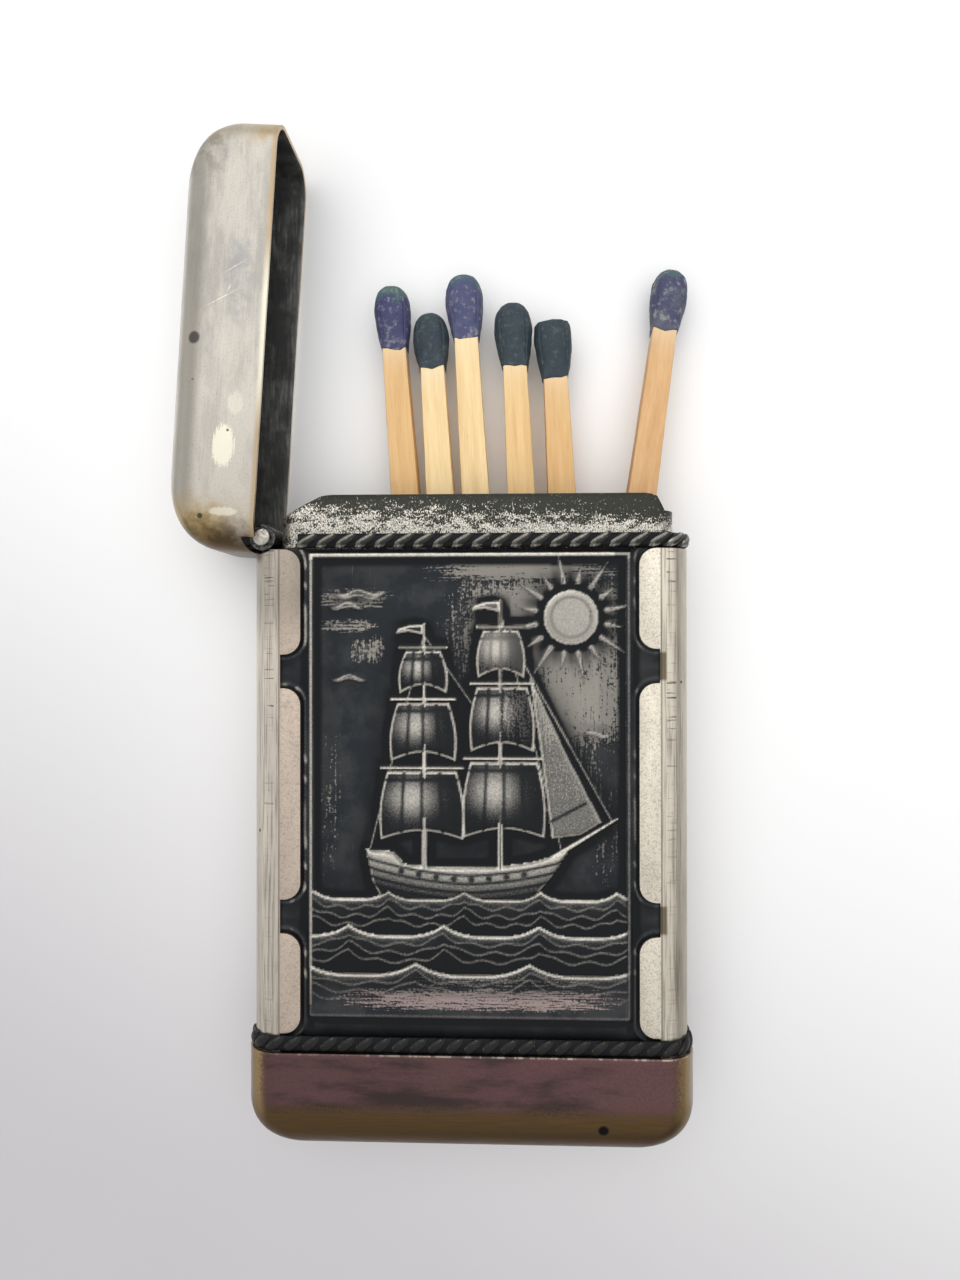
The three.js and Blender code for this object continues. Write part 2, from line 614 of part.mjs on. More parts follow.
// Lid, built shut with the pin axis at its own origin and then swung open as one group
const LID_LEFT = -BAND_HALF_X - LID_OVERHANG - HINGE_X;
const LID_CORNER_CLEAR = Math.hypot(LID_LEFT, HINGE_INSET + 2 * SEAM);
const LID_RIM = LID_RIM_Y - HINGE_Y;
const lid = new THREE.Group();
lid.position.set(HINGE_X, HINGE_Y, 0);
lid.rotation.z = THREE.MathUtils.degToRad(LID_OPEN_DEGREES);
safe.add(lid);

function lidShell() {
  const cup = drawnCup({
    rimY: LID_RIM,
    endY: LID_RIM + LID_DEPTH,
    halfX: BAND_HALF_X,
    halfZ: CAP_HALF_Z,
    roundX: LID_ROUND_X,
    roundY: LID_ROUND_Y,
    roundZ: LID_ROUND_Z,
    faceY: LID_FACE_Y,
    centreX: LID_LEFT + BAND_HALF_X,
  });
  return cut(cup, rodAlongZ(LID_CORNER_CLEAR, -PIN_END_Z - RUNNING_GAP, PIN_END_Z + RUNNING_GAP));
}

function lidHingeLeaf() {
  const x0 = LID_LEFT + NEST;
  const top = LID_RIM + LID_DEPTH - LID_ROUND_Y - SEAM;
  const leaf = box(x0, x0 + SHEET, 0, top, -LID_KNUCKLE_HALF, LID_KNUCKLE_HALF);
  const knuckle = rodAlongZ(KNUCKLE_RADIUS, -LID_KNUCKLE_HALF, LID_KNUCKLE_HALF);
  return cut(join(leaf, knuckle), rodAlongZ(PIN_RADIUS + PIN_FIT, -THICKNESS, THICKNESS));
}

// Matches. Each stands at x on the neck's top edge, leans to the left by lean degrees and shows
// its top rise above that edge. The first five lie in one layer on the back. The last one leans to the
// right, its foot lies over the fifth, and its head dips.
const LAYER_Z = -SKIRT_HALF_Z + SHEET + SEAM + HEAD_RADIUS;
const HEAD_PITCH = 2 * HEAD_RADIUS - HEAD_STAGGER;
const THIRD_X = 0.35;
const FOURTH_X = 4.4;
const FIFTH_X = 8;
const FIRST_RISE = 19.7;         // heads' tips above the neck's top edge
const SECOND_RISE = 17.2;
const THIRD_RISE = 20.6;
const FOURTH_RISE = 18;
const FIFTH_RISE = 17.1;
const SIXTH_RISE = 21.3;
const MATCHES = [
  { x: THIRD_X - 2 * HEAD_PITCH, lean: 4.2, rise: FIRST_RISE, finish: 'purple' },
  { x: THIRD_X - HEAD_PITCH, lean: 3.6, rise: SECOND_RISE, finish: 'teal' },
  { x: THIRD_X, lean: 3.4, rise: THIRD_RISE, finish: 'purple' },
  { x: FOURTH_X, lean: 2.7, rise: FOURTH_RISE, finish: 'teal' },
  { x: FIFTH_X, lean: 3.0, rise: FIFTH_RISE, finish: 'teal', broken: true },
  { x: COLLAR_RIGHT - LAST_MATCH_INSET, lean: -8.5, rise: SIXTH_RISE, finish: 'purple', dip: LAST_MATCH_DIP },
];

// Height of the last match at the neck's top edge: one layer up where it first crosses the fifth
function crossingHeight() {
  const [fifth, last] = MATCHES.slice(-2);
  const slope = (degrees) => Math.tan(THREE.MathUtils.degToRad(degrees));
  const depth = (last.x - fifth.x - STICK) / (slope(fifth.lean) - slope(last.lean));
  return LAYER_Z + STICK + RUNNING_GAP - depth * slope(last.dip);
}

function headProfile(broken) {
  const tip = broken ? HEAD_LENGTH - BROKEN_OFF : HEAD_LENGTH;
  const points = [[0, 0], [HEAD_FOOT_RADIUS, 0], [HEAD_RADIUS, HEAD_WIDEST]];
  for (let i = 1; i < HEAD_STEPS; i += 1) {
    const angle = (i / HEAD_STEPS) * Math.PI / 2;
    const height = HEAD_WIDEST + (HEAD_LENGTH - HEAD_WIDEST) * Math.sin(angle);
    if (height < tip) points.push([HEAD_RADIUS * Math.cos(angle), height]);
  }
  if (broken) points.push([HEAD_RADIUS / 2, tip]);
  points.push([0, tip]);
  return points.map(([radius, height]) => new THREE.Vector2(radius, height));
}

function addMatch({ x, lean, rise, finish, broken = false, dip = 0 }, number) {
  const group = new THREE.Group();
  const dipRadians = THREE.MathUtils.degToRad(dip);
  group.position.set(x, NECK_TOP_Y, dip ? crossingHeight() : LAYER_Z);
  group.rotation.set(-dipRadians, 0, THREE.MathUtils.degToRad(lean), 'ZXY');
  safe.add(group);
  const headFoot = rise - HEAD_LENGTH;
  const half = STICK / 2;
  const stick = box(-half, half, rise - MATCH_LENGTH, headFoot, -half, half);
  addPiece(`match_${number}_stick`, stick, 'wood', group);
  const head = new THREE.LatheGeometry(headProfile(broken), ROUND_SIDES / 2);
  addPiece(`match_${number}_head`, head.translate(0, headFoot + SEAM, 0), finish, group);
}

addPiece('base_cap', baseCap(), 'cap');
addPiece('left_side_band', leftBand(), 'nickel');
addPiece('right_side_band', sideBand(1), 'nickel');
addPiece('front_panel', frontPanel(), 'blackened');
addPiece('back_panel', backPanel(), 'blackened');
addPiece('bottom_rope', bottomRope(), 'blackened');
addPiece('top_rope', topRope(), 'blackened');
addPiece('neck_collar', neckCollar(), 'blackened');
addPiece('case_hinge_leaf', caseHingeLeaf(), 'blackened');
addPiece('hinge_pin', hingePin(), 'nickel');
addPiece('lid_spring', lidSpring(), 'steel');
addPiece('spring_rivet', springRivet(), 'steel');
addPiece('lid_shell', lidShell(), 'lid', lid);
addPiece('lid_hinge_leaf', lidHingeLeaf(), 'blackened', lid);
MATCHES.forEach((match, index) => addMatch(match, index + 1));

export default safe;
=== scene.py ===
"""Pocket match safe with its lid swung open: the looks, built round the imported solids.

Meshes are modelled in millimetres and scaled to metres when a piece is finished. The frame is the solids'
own: +X to the right, +Y from the base towards the lid, +Z out of the front face. SLIVER is the longest edge
that is merged away, THROUGH a depth that clears the case, and ROUNDED the angle that rounded pieces smooth.
NOISE_SEED fixes the offsets of the vector noise, so that each run gives the same sticks.
"""
import logging
import math
from collections.abc import Callable, Sequence
from dataclasses import dataclass, field
from enum import Enum

import bmesh
import bpy
import numpy as np
from mathutils import Euler, Matrix, Vector, noise


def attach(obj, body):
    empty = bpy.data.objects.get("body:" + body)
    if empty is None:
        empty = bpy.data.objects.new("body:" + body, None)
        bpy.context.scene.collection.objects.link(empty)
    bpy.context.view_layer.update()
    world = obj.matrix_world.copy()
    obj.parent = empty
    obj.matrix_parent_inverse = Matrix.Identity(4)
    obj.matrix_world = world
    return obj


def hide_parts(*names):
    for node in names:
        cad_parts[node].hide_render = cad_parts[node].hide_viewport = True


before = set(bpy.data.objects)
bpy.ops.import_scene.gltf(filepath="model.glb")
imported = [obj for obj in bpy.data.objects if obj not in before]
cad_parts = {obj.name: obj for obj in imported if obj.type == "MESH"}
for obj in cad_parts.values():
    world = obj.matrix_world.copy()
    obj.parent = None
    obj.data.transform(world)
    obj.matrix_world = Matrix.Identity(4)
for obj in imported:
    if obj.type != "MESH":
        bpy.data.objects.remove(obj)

log = logging.getLogger("match_safe")
MM = 0.001
SLIVER = 0.0005
THROUGH = 9.0
ROUNDED = 60.0
NOISE_SEED = 7
Colour = tuple[float, float, float, float]
Point = tuple[float, float]
Rows = tuple[tuple[float, ...], ...]
Test = Callable[[Vector], bool]
Piece = bpy.types.Object
Material = bpy.types.Material
Socket = bpy.types.NodeSocket
Tree = bpy.types.NodeTree


class Pick(Enum):
    """What an edit-mode selection is made of."""

    VERTS = "VERT"
    EDGES = "EDGE"
    FACES = "FACE"


class Body(Enum):
    """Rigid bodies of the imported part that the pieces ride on."""

    CASE = "case"
    LID = "lid"


@dataclass(frozen=True)
class CaseSizes:
    """Sizes that several sub-assemblies share, in millimetres."""

    sheet: float = 0.35
    band_half_x: float = 18.2
    band_half_z: float = 5.15
    band_radius: float = 2.25
    cap_half_x: float = 18.65
    cap_half_z: float = 5.6
    cap_height: float = 8.3
    edge_radius: float = 2.7
    panel_half_x: float = 16.4
    panel_face_z: float = 4.7
    panel_back_z: float = 4.35
    panel_y0: float = 9.75
    panel_y1: float = 49.95
    foot_y: float = 4.4
    lobe_x: float = 14.0
    notch_x: float = 15.7
    lobe_round: float = 1.4
    frame_half_x: float = 13.35
    frame_y0: float = 11.15
    frame_y1: float = 49.65
    hinge_x: float = -17.4
    hinge_y: float = 51.05
    hinge_clear: float = 1.4
    lid_open: float = 86.5

    def notches(self, side: int) -> tuple[Point, Point]:
        """Y ranges of the two notches in one side band: -1 is the left band, 1 the right one."""
        upper = (38.85, 41.65) if side > 0 else (38.4, 41.2)
        return (18.05, 20.85), upper


SIZES = CaseSizes()


def clear() -> None:
    """Leave edit mode and deselect everything."""
    if bpy.context.mode != "OBJECT":
        bpy.ops.object.mode_set(mode="OBJECT")
    bpy.ops.object.select_all(action="DESELECT")


def only(obj: Piece) -> None:
    """Make one object the whole selection.

    Args:
        obj: The object.
    """
    clear()
    bpy.context.view_layer.objects.active = obj
    obj.select_set(True)


def edit(obj: Piece) -> None:
    """Open one object in edit mode."""
    only(obj)
    bpy.ops.object.mode_set(mode="EDIT")


def settle() -> Piece:
    """Put a new primitive's place, turn and size into its mesh, and hand it back."""
    bpy.ops.object.transform_apply(location=True, rotation=True, scale=True)
    return bpy.context.object


def block(low: Sequence[float], high: Sequence[float]) -> Piece:
    """A box between two corners.

    Args:
        low: Lowest corner.
        high: Highest corner.

    Returns:
        The new object.
    """
    clear()
    centre = [(a + b) / 2 for a, b in zip(low, high)]
    size = [b - a for a, b in zip(low, high)]
    bpy.ops.mesh.primitive_cube_add(size=1, location=centre)
    bpy.context.object.scale = size
    return settle()


def rod(radius: float, start: Sequence[float], end: Sequence[float], sides: int = 32) -> Piece:
    """A round bar between two points.

    Args:
        radius: Radius of the bar.
        start: Centre of one end.
        end: Centre of the other end.
        sides: Number of sides.

    Returns:
        The new object.
    """
    clear()
    along = Vector(end) - Vector(start)
    turn = along.to_track_quat("Z", "Y").to_euler()
    middle = (Vector(start) + Vector(end)) / 2
    bpy.ops.mesh.primitive_cylinder_add(
        vertices=sides, radius=radius, depth=along.length, location=middle, rotation=turn
    )
    return settle()


def plate(low: Point, high: Point, z: float) -> Piece:
    """A flat sheet across the front.

    Args:
        low: Lower left corner.
        high: Upper right corner.
        z: Height of the sheet.

    Returns:
        The new object.
    """
    clear()
    middle = ((low[0] + high[0]) / 2, (low[1] + high[1]) / 2, z)
    bpy.ops.mesh.primitive_plane_add(size=1, location=middle)
    bpy.context.object.scale = (high[0] - low[0], high[1] - low[1], 1)
    return settle()


def pick(obj: Piece, what: Pick, test: Test) -> int:
    """Select the elements whose middle passes a test. The object is open in edit mode.

    Args:
        obj: The object being edited.
        what: Kind of element.
        test: Takes an element's middle and says whether it is wanted.

    Returns:
        The number of elements selected.
    """
    bpy.ops.mesh.select_mode(type=what.value)
    bpy.ops.mesh.select_all(action="DESELECT")
    mesh = bmesh.from_edit_mesh(obj.data)
    if what is Pick.VERTS:
        chosen = [vert for vert in mesh.verts if test(vert.co)]
    elif what is Pick.EDGES:
        chosen = [edge for edge in mesh.edges if test((edge.verts[0].co + edge.verts[1].co) / 2)]
    else:
        chosen = [face for face in mesh.faces if test(face.calc_center_median())]
    for element in chosen:
        element.select_set(True)
    mesh.select_flush_mode()
    bmesh.update_edit_mesh(obj.data)
    return len(chosen)


def mark_all() -> None:
    """Select the whole mesh that is open in edit mode."""
    bpy.ops.mesh.select_all(action="SELECT")


def cut_across(where: Sequence[float], normal: Sequence[float]) -> None:
    """Cut new edges across the open mesh, at a plane given by a point and its normal."""
    mark_all()
    bpy.ops.mesh.bisect(plane_co=where, plane_no=normal)


def pull(move: Sequence[float]) -> None:
    """Extrude the selection by a move."""
    bpy.ops.mesh.extrude_region_move(TRANSFORM_OT_translate={"value": move})


def outline(half_x: float, half_z: float, radius: float, y: float, centre_x: float, steps: int) -> Piece:
    """A rounded rectangle that lies across the case.

    Args:
        half_x: Half its width.
        half_z: Half its depth.
        radius: Radius of its corners.
        y: Its level along the case.
        centre_x: Its middle across the case.
        steps: Segments in each corner.

    Returns:
        The new object, a single face.
    """
    clear()
    bpy.ops.mesh.primitive_plane_add(size=2, location=(centre_x, y, 0), rotation=(math.pi / 2, 0, 0))
    bpy.context.object.scale = (half_x, half_z, 1)
    obj = settle()
    edit(obj)
    mark_all()
    bpy.ops.mesh.bevel(offset=radius, segments=steps, affect="VERTICES")
    return obj


def draw_out(levels: Sequence[tuple[float, float, float]], centre_x: float) -> None:
    """Draw the outline that is open in edit mode out along the case, level by level.

    Args:
        levels: Y, half width and half depth at each level, the outline's own level first.
        centre_x: Middle of the form across the case.
    """
    bpy.ops.mesh.select_mode(type="FACE")
    mark_all()
    for (y0, x0, z0), (y1, x1, z1) in zip(levels, levels[1:]):
        pull((0, y1 - y0, 0))
        bpy.ops.transform.resize(value=(x1 / x0, 1, z1 / z0), center_override=(centre_x, y1, 0))


def drop_faces(obj: Piece, test: Test) -> None:
    """Delete the faces of the open object whose middle passes a test."""
    if pick(obj, Pick.FACES, test):
        bpy.ops.mesh.delete(type="FACE")


def face_out(obj: Piece) -> None:
    """Merge doubles and turn all faces outwards; leaves edit mode.

    Args:
        obj: The object.
    """
    edit(obj)
    mark_all()
    bpy.ops.mesh.remove_doubles(threshold=SLIVER)
    bpy.ops.mesh.normals_make_consistent(inside=False)
    clear()


def modify(obj: Piece, kind: str, **settings: object) -> None:
    """Add a modifier and apply it.

    Args:
        obj: The object.
        kind: Blender's name for the kind of modifier.
        **settings: The modifier's settings.
    """
    only(obj)
    modifier = obj.modifiers.new(kind.title(), kind)
    for name, value in settings.items():
        setattr(modifier, name, value)
    bpy.ops.object.modifier_apply(modifier=modifier.name)


def soften(obj: Piece, width: float, steps: int = 2, degrees: float = 40) -> None:
    """Round all edges sharper than an angle."""
    angle = math.radians(degrees)
    modify(obj, "BEVEL", width=width, segments=steps, limit_method="ANGLE", angle_limit=angle)


def cut_out(obj: Piece, tool: Piece) -> None:
    """Take one solid out of another, and use it up."""
    modify(obj, "BOOLEAN", operation="DIFFERENCE", solver="EXACT", object=tool)
    bpy.data.objects.remove(tool)


def copies(obj: Piece, places: Sequence[Matrix]) -> Piece:
    """Copy one mesh to many places and join the copies; the first mesh is used up.

    Args:
        obj: What repeats.
        places: One matrix for each copy.

    Returns:
        The joined object.
    """
    made = []
    for place in places:
        only(obj)
        bpy.ops.object.duplicate()
        made.append(bpy.context.object)
        made[-1].matrix_world = place
        settle()
    bpy.data.objects.remove(obj)
    return join(made)


def join(objects: Sequence[Piece]) -> Piece:
    """Join several objects into the first one.

    Args:
        objects: The objects.

    Returns:
        The first object.
    """
    clear()
    for obj in objects:
        obj.select_set(True)
    bpy.context.view_layer.objects.active = objects[0]
    bpy.ops.object.join()
    return objects[0]


def paint(obj: Piece, name: str, values: Sequence[float]) -> None:
    """Store one number for each vertex under a name, for the finish to read."""
    layer = obj.data.attributes.get(name) or obj.data.attributes.new(name, "FLOAT", "POINT")
    layer.data.foreach_set("value", np.asarray(values, dtype=np.float32))


def read_points(obj: Piece) -> np.ndarray:
    """Read the places of the vertices.

    Args:
        obj: The object.

    Returns:
        One row for each vertex.
    """
    places = np.zeros(len(obj.data.vertices) * 3, dtype=np.float64)
    obj.data.vertices.foreach_get("co", places)
    return places.reshape(-1, 3)


def move_points(obj: Piece, places: np.ndarray) -> None:
    """Put every vertex at a new place."""
    obj.data.vertices.foreach_set("co", places.ravel())
    obj.data.update()


def deliver(
    obj: Piece, name: str, body: str, finishes: Sequence[Material],
    nodes: Sequence[str], smooth: float = 35,
) -> None:
    """Finish a piece: metres, shading, finish, and its place in the part.

    Args:
        obj: The modelled object, in millimetres.
        name: The piece's name.
        body: Body that it rides on.
        finishes: Its materials, in the order of its material slots.
        nodes: Solids that it stands for.
        smooth: Edges sharper than this angle stay sharp.
    """
    edit(obj)
    mark_all()
    bpy.ops.mesh.dissolve_degenerate(threshold=SLIVER)
    only(obj)
    obj.scale = (MM, MM, MM)
    settle()
    bpy.ops.object.shade_smooth_by_angle(angle=math.radians(smooth))
    obj.name = name
    obj.data.name = name
    for index, finish in enumerate(finishes):
        if index < len(obj.data.materials):
            obj.data.materials[index] = finish
        else:
            obj.data.materials.append(finish)
    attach(obj, body)
    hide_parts(*nodes)
    log.info("%s: %d faces on %s", name, len(obj.data.polygons), body)


@dataclass(frozen=True)
class Wire:
    """A value in a node tree. Sums with it add nodes: + - * and abs as usual, | for the larger of two."""

    graph: "Graph"
    socket: Socket

    def __add__(self, other: object) -> "Wire":
        """The sum."""
        return self.graph.math("ADD", self, other)

    def __sub__(self, other: object) -> "Wire":
        """The difference."""
        return self.graph.math("SUBTRACT", self, other)

    def __rsub__(self, other: object) -> "Wire":
        """The difference from a plain number."""
        return self.graph.math("SUBTRACT", other, self)

    def __mul__(self, other: object) -> "Wire":
        """The product."""
        return self.graph.math("MULTIPLY", self, other)

    def __or__(self, other: object) -> "Wire":
        """The larger one."""
        return self.graph.math("MAXIMUM", self, other)

    def __abs__(self) -> "Wire":
        """The distance from zero."""
        return self.graph.math("ABSOLUTE", self)

    def held(self) -> "Wire":
        """Keep the last sum between 0 and 1."""
        self.socket.node.use_clamp = True
        return self

    def ramp(self, low: object, high: object, start: float = 0, end: float = 1) -> "Wire":
        """Move the value from one range to another, smoothly and with its ends held.

        Args:
            low: Where the old range starts.
            high: Where the old range ends.
            start: Result at low.
            end: Result at high.

        Returns:
            The moved value.
        """
        made = self.graph.node("MapRange", interpolation_type="SMOOTHSTEP")
        for socket, number in zip(made.inputs[:5], (self, low, high, start, end)):
            self.graph.feed(socket, number)
        return Wire(self.graph, made.outputs[0])

    def grain(self, scale: float | Sequence[float], low: float, high: float) -> "Wire":
        """Stretched noise at these coordinates, cut between two levels."""
        size = scale if isinstance(scale, Sequence) else (scale, scale, scale)
        return self.graph.place(Effects.grain(), Vector=self, Scale=size, Low=low, High=high)


class Graph:
    """Short words for wiring one node tree."""

    def __init__(self, tree: Tree) -> None:
        """Take the tree to wire."""
        self.tree = tree

    def node(self, kind: str, **settings: object) -> bpy.types.Node:
        """Add a node.

        Args:
            kind: Blender's name of the node, after ShaderNode.
            **settings: The node's properties.

        Returns:
            The node.
        """
        made = self.tree.nodes.new("ShaderNode" + kind)
        for name, value in settings.items():
            setattr(made, name, value)
        return made

    def feed(self, socket: Socket, value: object) -> None:
        """Link a socket, or set its constant.

        Args:
            socket: The socket to feed.
            value: A wire, another node's output or a constant.
        """
        source = value.socket if isinstance(value, Wire) else value
        if isinstance(source, Socket):
            self.tree.links.new(source, socket)
        else:
            socket.default_value = source

    def fill(self, node: bpy.types.Node, **values: object) -> Wire:
        """Feed a node's inputs.

        Args:
            node: The node.
            **values: Values by the input's name, with _ for a space.

        Returns:
            The node's first output.
        """
        for name, value in values.items():
            self.feed(node.inputs[name.replace("_", " ")], value)
        return Wire(self, node.outputs[0])

    def math(self, how: str, first: object, second: object = 0) -> Wire:
        """Combine two numbers.

        Args:
            how: The operation.
            first: First number or wire.
            second: Second number or wire.

        Returns:
            The result.
        """
        made = self.node("Math", operation=how)
        self.feed(made.inputs[0], first)
        self.feed(made.inputs[1], second)
        return Wire(self, made.outputs[0])

    def mix(self, share: object, first: object, second: object) -> Wire:
        """Mix two colours.

        Args:
            share: Share of the second colour.
            first: First colour.
            second: Second colour.

        Returns:
            The mixed colour.
        """
        made = self.node("Mix", data_type="RGBA")
        self.feed(made.inputs[0], share)
        self.feed(made.inputs[6], first)
        self.feed(made.inputs[7], second)
        return Wire(self, made.outputs[2])

    def place(self, group: Tree, **values: object) -> Wire:
        """Place a node group with its inputs by name, and give its first output."""
        return self.fill(self.node("Group", node_tree=group), **values)

    def attribute(self, name: str) -> Wire:
        """Read a number painted on the mesh."""
        return Wire(self, self.node("Attribute", attribute_name=name).outputs["Fac"])

    def millimetres(self, origin: Sequence[float] = (0, 0, 0), turn: float = 0.0) -> Wire:
        """Object coordinates in millimetres.

        Args:
            origin: Point that becomes zero, in millimetres.
            turn: Degrees that the piece is turned about +Z.

        Returns:
            The coordinates.
        """
        here = self.node("TexCoord").outputs["Object"]
        place = [number * MM for number in origin]
        spin = (0, 0, math.radians(turn))
        made = self.node("Mapping", vector_type="TEXTURE")
        return self.fill(made, Vector=here, Location=place, Rotation=spin, Scale=(MM, MM, MM))

    def parts(self, vector: object) -> tuple[Wire, ...]:
        """Split coordinates.

        Args:
            vector: The coordinates.

        Returns:
            X, Y and Z.
        """
        made = self.node("SeparateXYZ")
        self.feed(made.inputs[0], vector)
        return tuple(Wire(self, part) for part in made.outputs)

    def near(self, place: object, centre: Sequence[float], full: float, none: float) -> Wire:
        """A mask round a point.

        Args:
            place: The coordinates.
            centre: The point.
            full: Distance up to which the mask is 1.
            none: Distance from which it is 0.

        Returns:
            The mask.
        """
        made = self.node("VectorMath", operation="DISTANCE")
        self.feed(made.inputs[0], place)
        self.feed(made.inputs[1], centre)
        return Wire(self, made.outputs["Value"]).ramp(full, none, 1, 0)

    def bump(self, height: object, strength: float, distance: float) -> Wire:
        """Turn a height into a normal, with how much of it shows and its depth in millimetres."""
        return self.fill(self.node("Bump"), Strength=strength, Distance=distance * MM, Height=height)


class Effects:
    """Node groups that several finishes share, each built once."""

    made: dict[str, Tree] = {}

    @classmethod
    def start(cls, name: str, **inputs: str) -> tuple[Graph, bpy.types.Node, bpy.types.Node]:
        """Begin a group that gives a mask.

        Args:
            name: The group's name.
            **inputs: Kind of socket for each of its inputs.

        Returns:
            The group's graph, the node of its inputs and the node of its output.
        """
        group = cls.made[name] = bpy.data.node_groups.new(name, "ShaderNodeTree")
        for label, kind in inputs.items():
            group.interface.new_socket(label, in_out="INPUT", socket_type="NodeSocket" + kind)
        group.interface.new_socket("Mask", in_out="OUTPUT", socket_type="NodeSocketFloat")
        return Graph(group), group.nodes.new("NodeGroupInput"), group.nodes.new("NodeGroupOutput")

    @classmethod
    def grain(cls) -> Tree:
        """Noise stretched along the axes and cut between two levels: brush lines, speckles or stains.

        Returns:
            The group, with the inputs Vector, Scale, Low and High and the output Mask.
        """
        if "grain" not in cls.made:
            kinds = {"Vector": "Vector", "Scale": "Vector", "Low": "Float", "High": "Float"}
            graph, inside, outside = cls.start("grain", **kinds)
            given = inside.outputs
            here = graph.fill(graph.node("Mapping"), Vector=given["Vector"], Scale=given["Scale"])
            cloud = graph.fill(graph.node("TexNoise"), Vector=here, Scale=1, Detail=5, Roughness=0.62)
            graph.feed(outside.inputs["Mask"], cloud.ramp(given["Low"], given["High"]))
        return cls.made["grain"]

    @classmethod
    def pits(cls) -> Tree:
        """Scattered round spots of uneven size.

        Returns:
            The group, with the inputs Vector, Scale and Size and the output Mask.
        """
        if "pits" not in cls.made:
            graph, inside, outside = cls.start("pits", Vector="Vector", Scale="Float", Size="Float")
            given = inside.outputs
            cells = graph.node("TexVoronoi")
            graph.fill(cells, Vector=given["Vector"], Scale=given["Scale"])
            chance = graph.parts(cells.outputs["Color"])[0]
            room = graph.math("POWER", chance, 3) * given["Size"]
            graph.feed(outside.inputs["Mask"], graph.math("LESS_THAN", cells.outputs["Distance"], room))
        return cls.made["pits"]


class Finish:
    """A material with its Principled shader."""

    def __init__(self, name: str) -> None:
        """Make an empty material.

        Args:
            name: The material's name.
        """
        self.material = bpy.data.materials.new(name)
        self.material.use_nodes = True
        self.graph = Graph(self.material.node_tree)
        self.shader = self.material.node_tree.nodes["Principled BSDF"]

    def set(self, **values: object) -> Material:
        """Set or link the shader's inputs by name, with _ for a space, and give the material."""
        self.graph.fill(self.shader, **values)
        return self.material


@dataclass(frozen=True)
class BandNickel:
    """Nickel plate: pebbled lobes, pink on the left and cream on the right, and a bend with short cracks.

    The right lobes and the left bend are painted brighter than the other band's, as painted light.
    """

    lobe_left_shaded: Colour = (0.64, 0.53, 0.44, 1)
    lobe_right_lit: Colour = (0.93, 0.855, 0.72, 1)
    bend_left_lit: Colour = (0.74, 0.67, 0.58, 1)
    bend_right_shaded: Colour = (0.70, 0.64, 0.535, 1)
    streak: Colour = (0.24, 0.215, 0.175, 1)
    # Colour of the pits, cracks and spots, and of the painted shade along the bands' crease
    mark_black: Colour = (0.05, 0.045, 0.04, 1)
    brass: Colour = (0.14, 0.107, 0.062, 1)
    crease_x: float = 15.8
    crack_x: float = 16.65

    def build(self) -> Material:
        """Wire the finish.

        Returns:
            The material.
        """
        finish = Finish("band_nickel")
        graph = finish.graph
        here = graph.millimetres()
        x, y, _ = graph.parts(here)
        cloud = here.grain((0.5, 0.16, 0.5), 0.42, 0.66)
        lines = here.grain((5.5, 0.16, 5.5), 0.46, 0.66)
        pebbles = here.grain(3.6, 0.48, 0.72)
        specks = graph.place(Effects.pits(), Vector=here, Scale=0.8, Size=0.13)
        cracks = here.grain((0.2, 4.6, 0.2), 0.56, 0.62)
        crowded = here.grain((0.01, 0.13, 0.01), 0.38, 0.54)
        out = abs(x)
        # left picks the left band: its lobes are painted darker and its bend brighter than the right band's,
        # as painted light
        left = x.ramp(-3, 3, 1, 0)
        lobe = out.ramp(self.crease_x - 0.12, self.crease_x + 0.05, 1, 0)
        face = graph.mix(left, self.lobe_right_lit, self.lobe_left_shaded)
        grit = here.grain(7.5, 0.5, 0.64)
        face = graph.mix(pebbles * 0.36, face, self.streak)
        face = graph.mix(grit * 0.42, face, self.streak)
        bend = graph.mix(left, self.bend_right_shaded, self.bend_left_lit)
        bend = graph.mix(lines * out.ramp(17, 18, 0.72, 0.3), bend, self.streak)
        colour = graph.mix(lobe, bend, face)
        # Dirty clouds, darker towards the bottom; on the left band's top, grime with the rope's shadow
        # painted in; on the right band's outer bend, painted shade
        soil_and_shade = cloud * 0.16 + y.ramp(34, 14, 0, 0.16)
        soil_and_shade = soil_and_shade + left * y.ramp(41, 46.5, 0, 0.62)
        soil_and_shade = (soil_and_shade + x.ramp(16.9, 17.8, 0, 0.4)).held()
        colour = graph.mix(soil_and_shade, colour, self.streak)
        for low, high in SIZES.notches(1):
            off = abs(y - (low + high) / 2)
            bare = off.ramp(1, 1.3, 0.9, 0) * x.ramp(16.1, 16.35, 1, 0)
            colour = graph.mix(bare * x.ramp(0, 1), colour, self.brass)
        # A painted shade line along the crease where the flat flange turns into the bend
        crease_shade = abs(out - self.crease_x).ramp(0.03, 0.11, 0.6, 0)
        reach = abs(out - self.crack_x)
        ticks = cracks * reach.ramp(0.34, 0.5, 1, 0) * crowded
        ticks = ticks * y.ramp(20, 40, 0.2, 1)
        # Pits and cracks together with the painted crease shade: darker, rougher and dented
        dark_marks = (specks | ticks | crease_shade).held()
        colour = graph.mix(dark_marks * 0.85, colour, self.mark_black)
        rough = lobe.ramp(0, 1, 0.32, 0.44) + dark_marks * 0.3
        height = graph.mix(lobe, lines, pebbles) * -0.5
        height = height - dark_marks
        normal = graph.bump(height, 0.35, 0.04)
        return finish.set(Base_Color=colour, Metallic=1, Roughness=rough, Normal=normal)


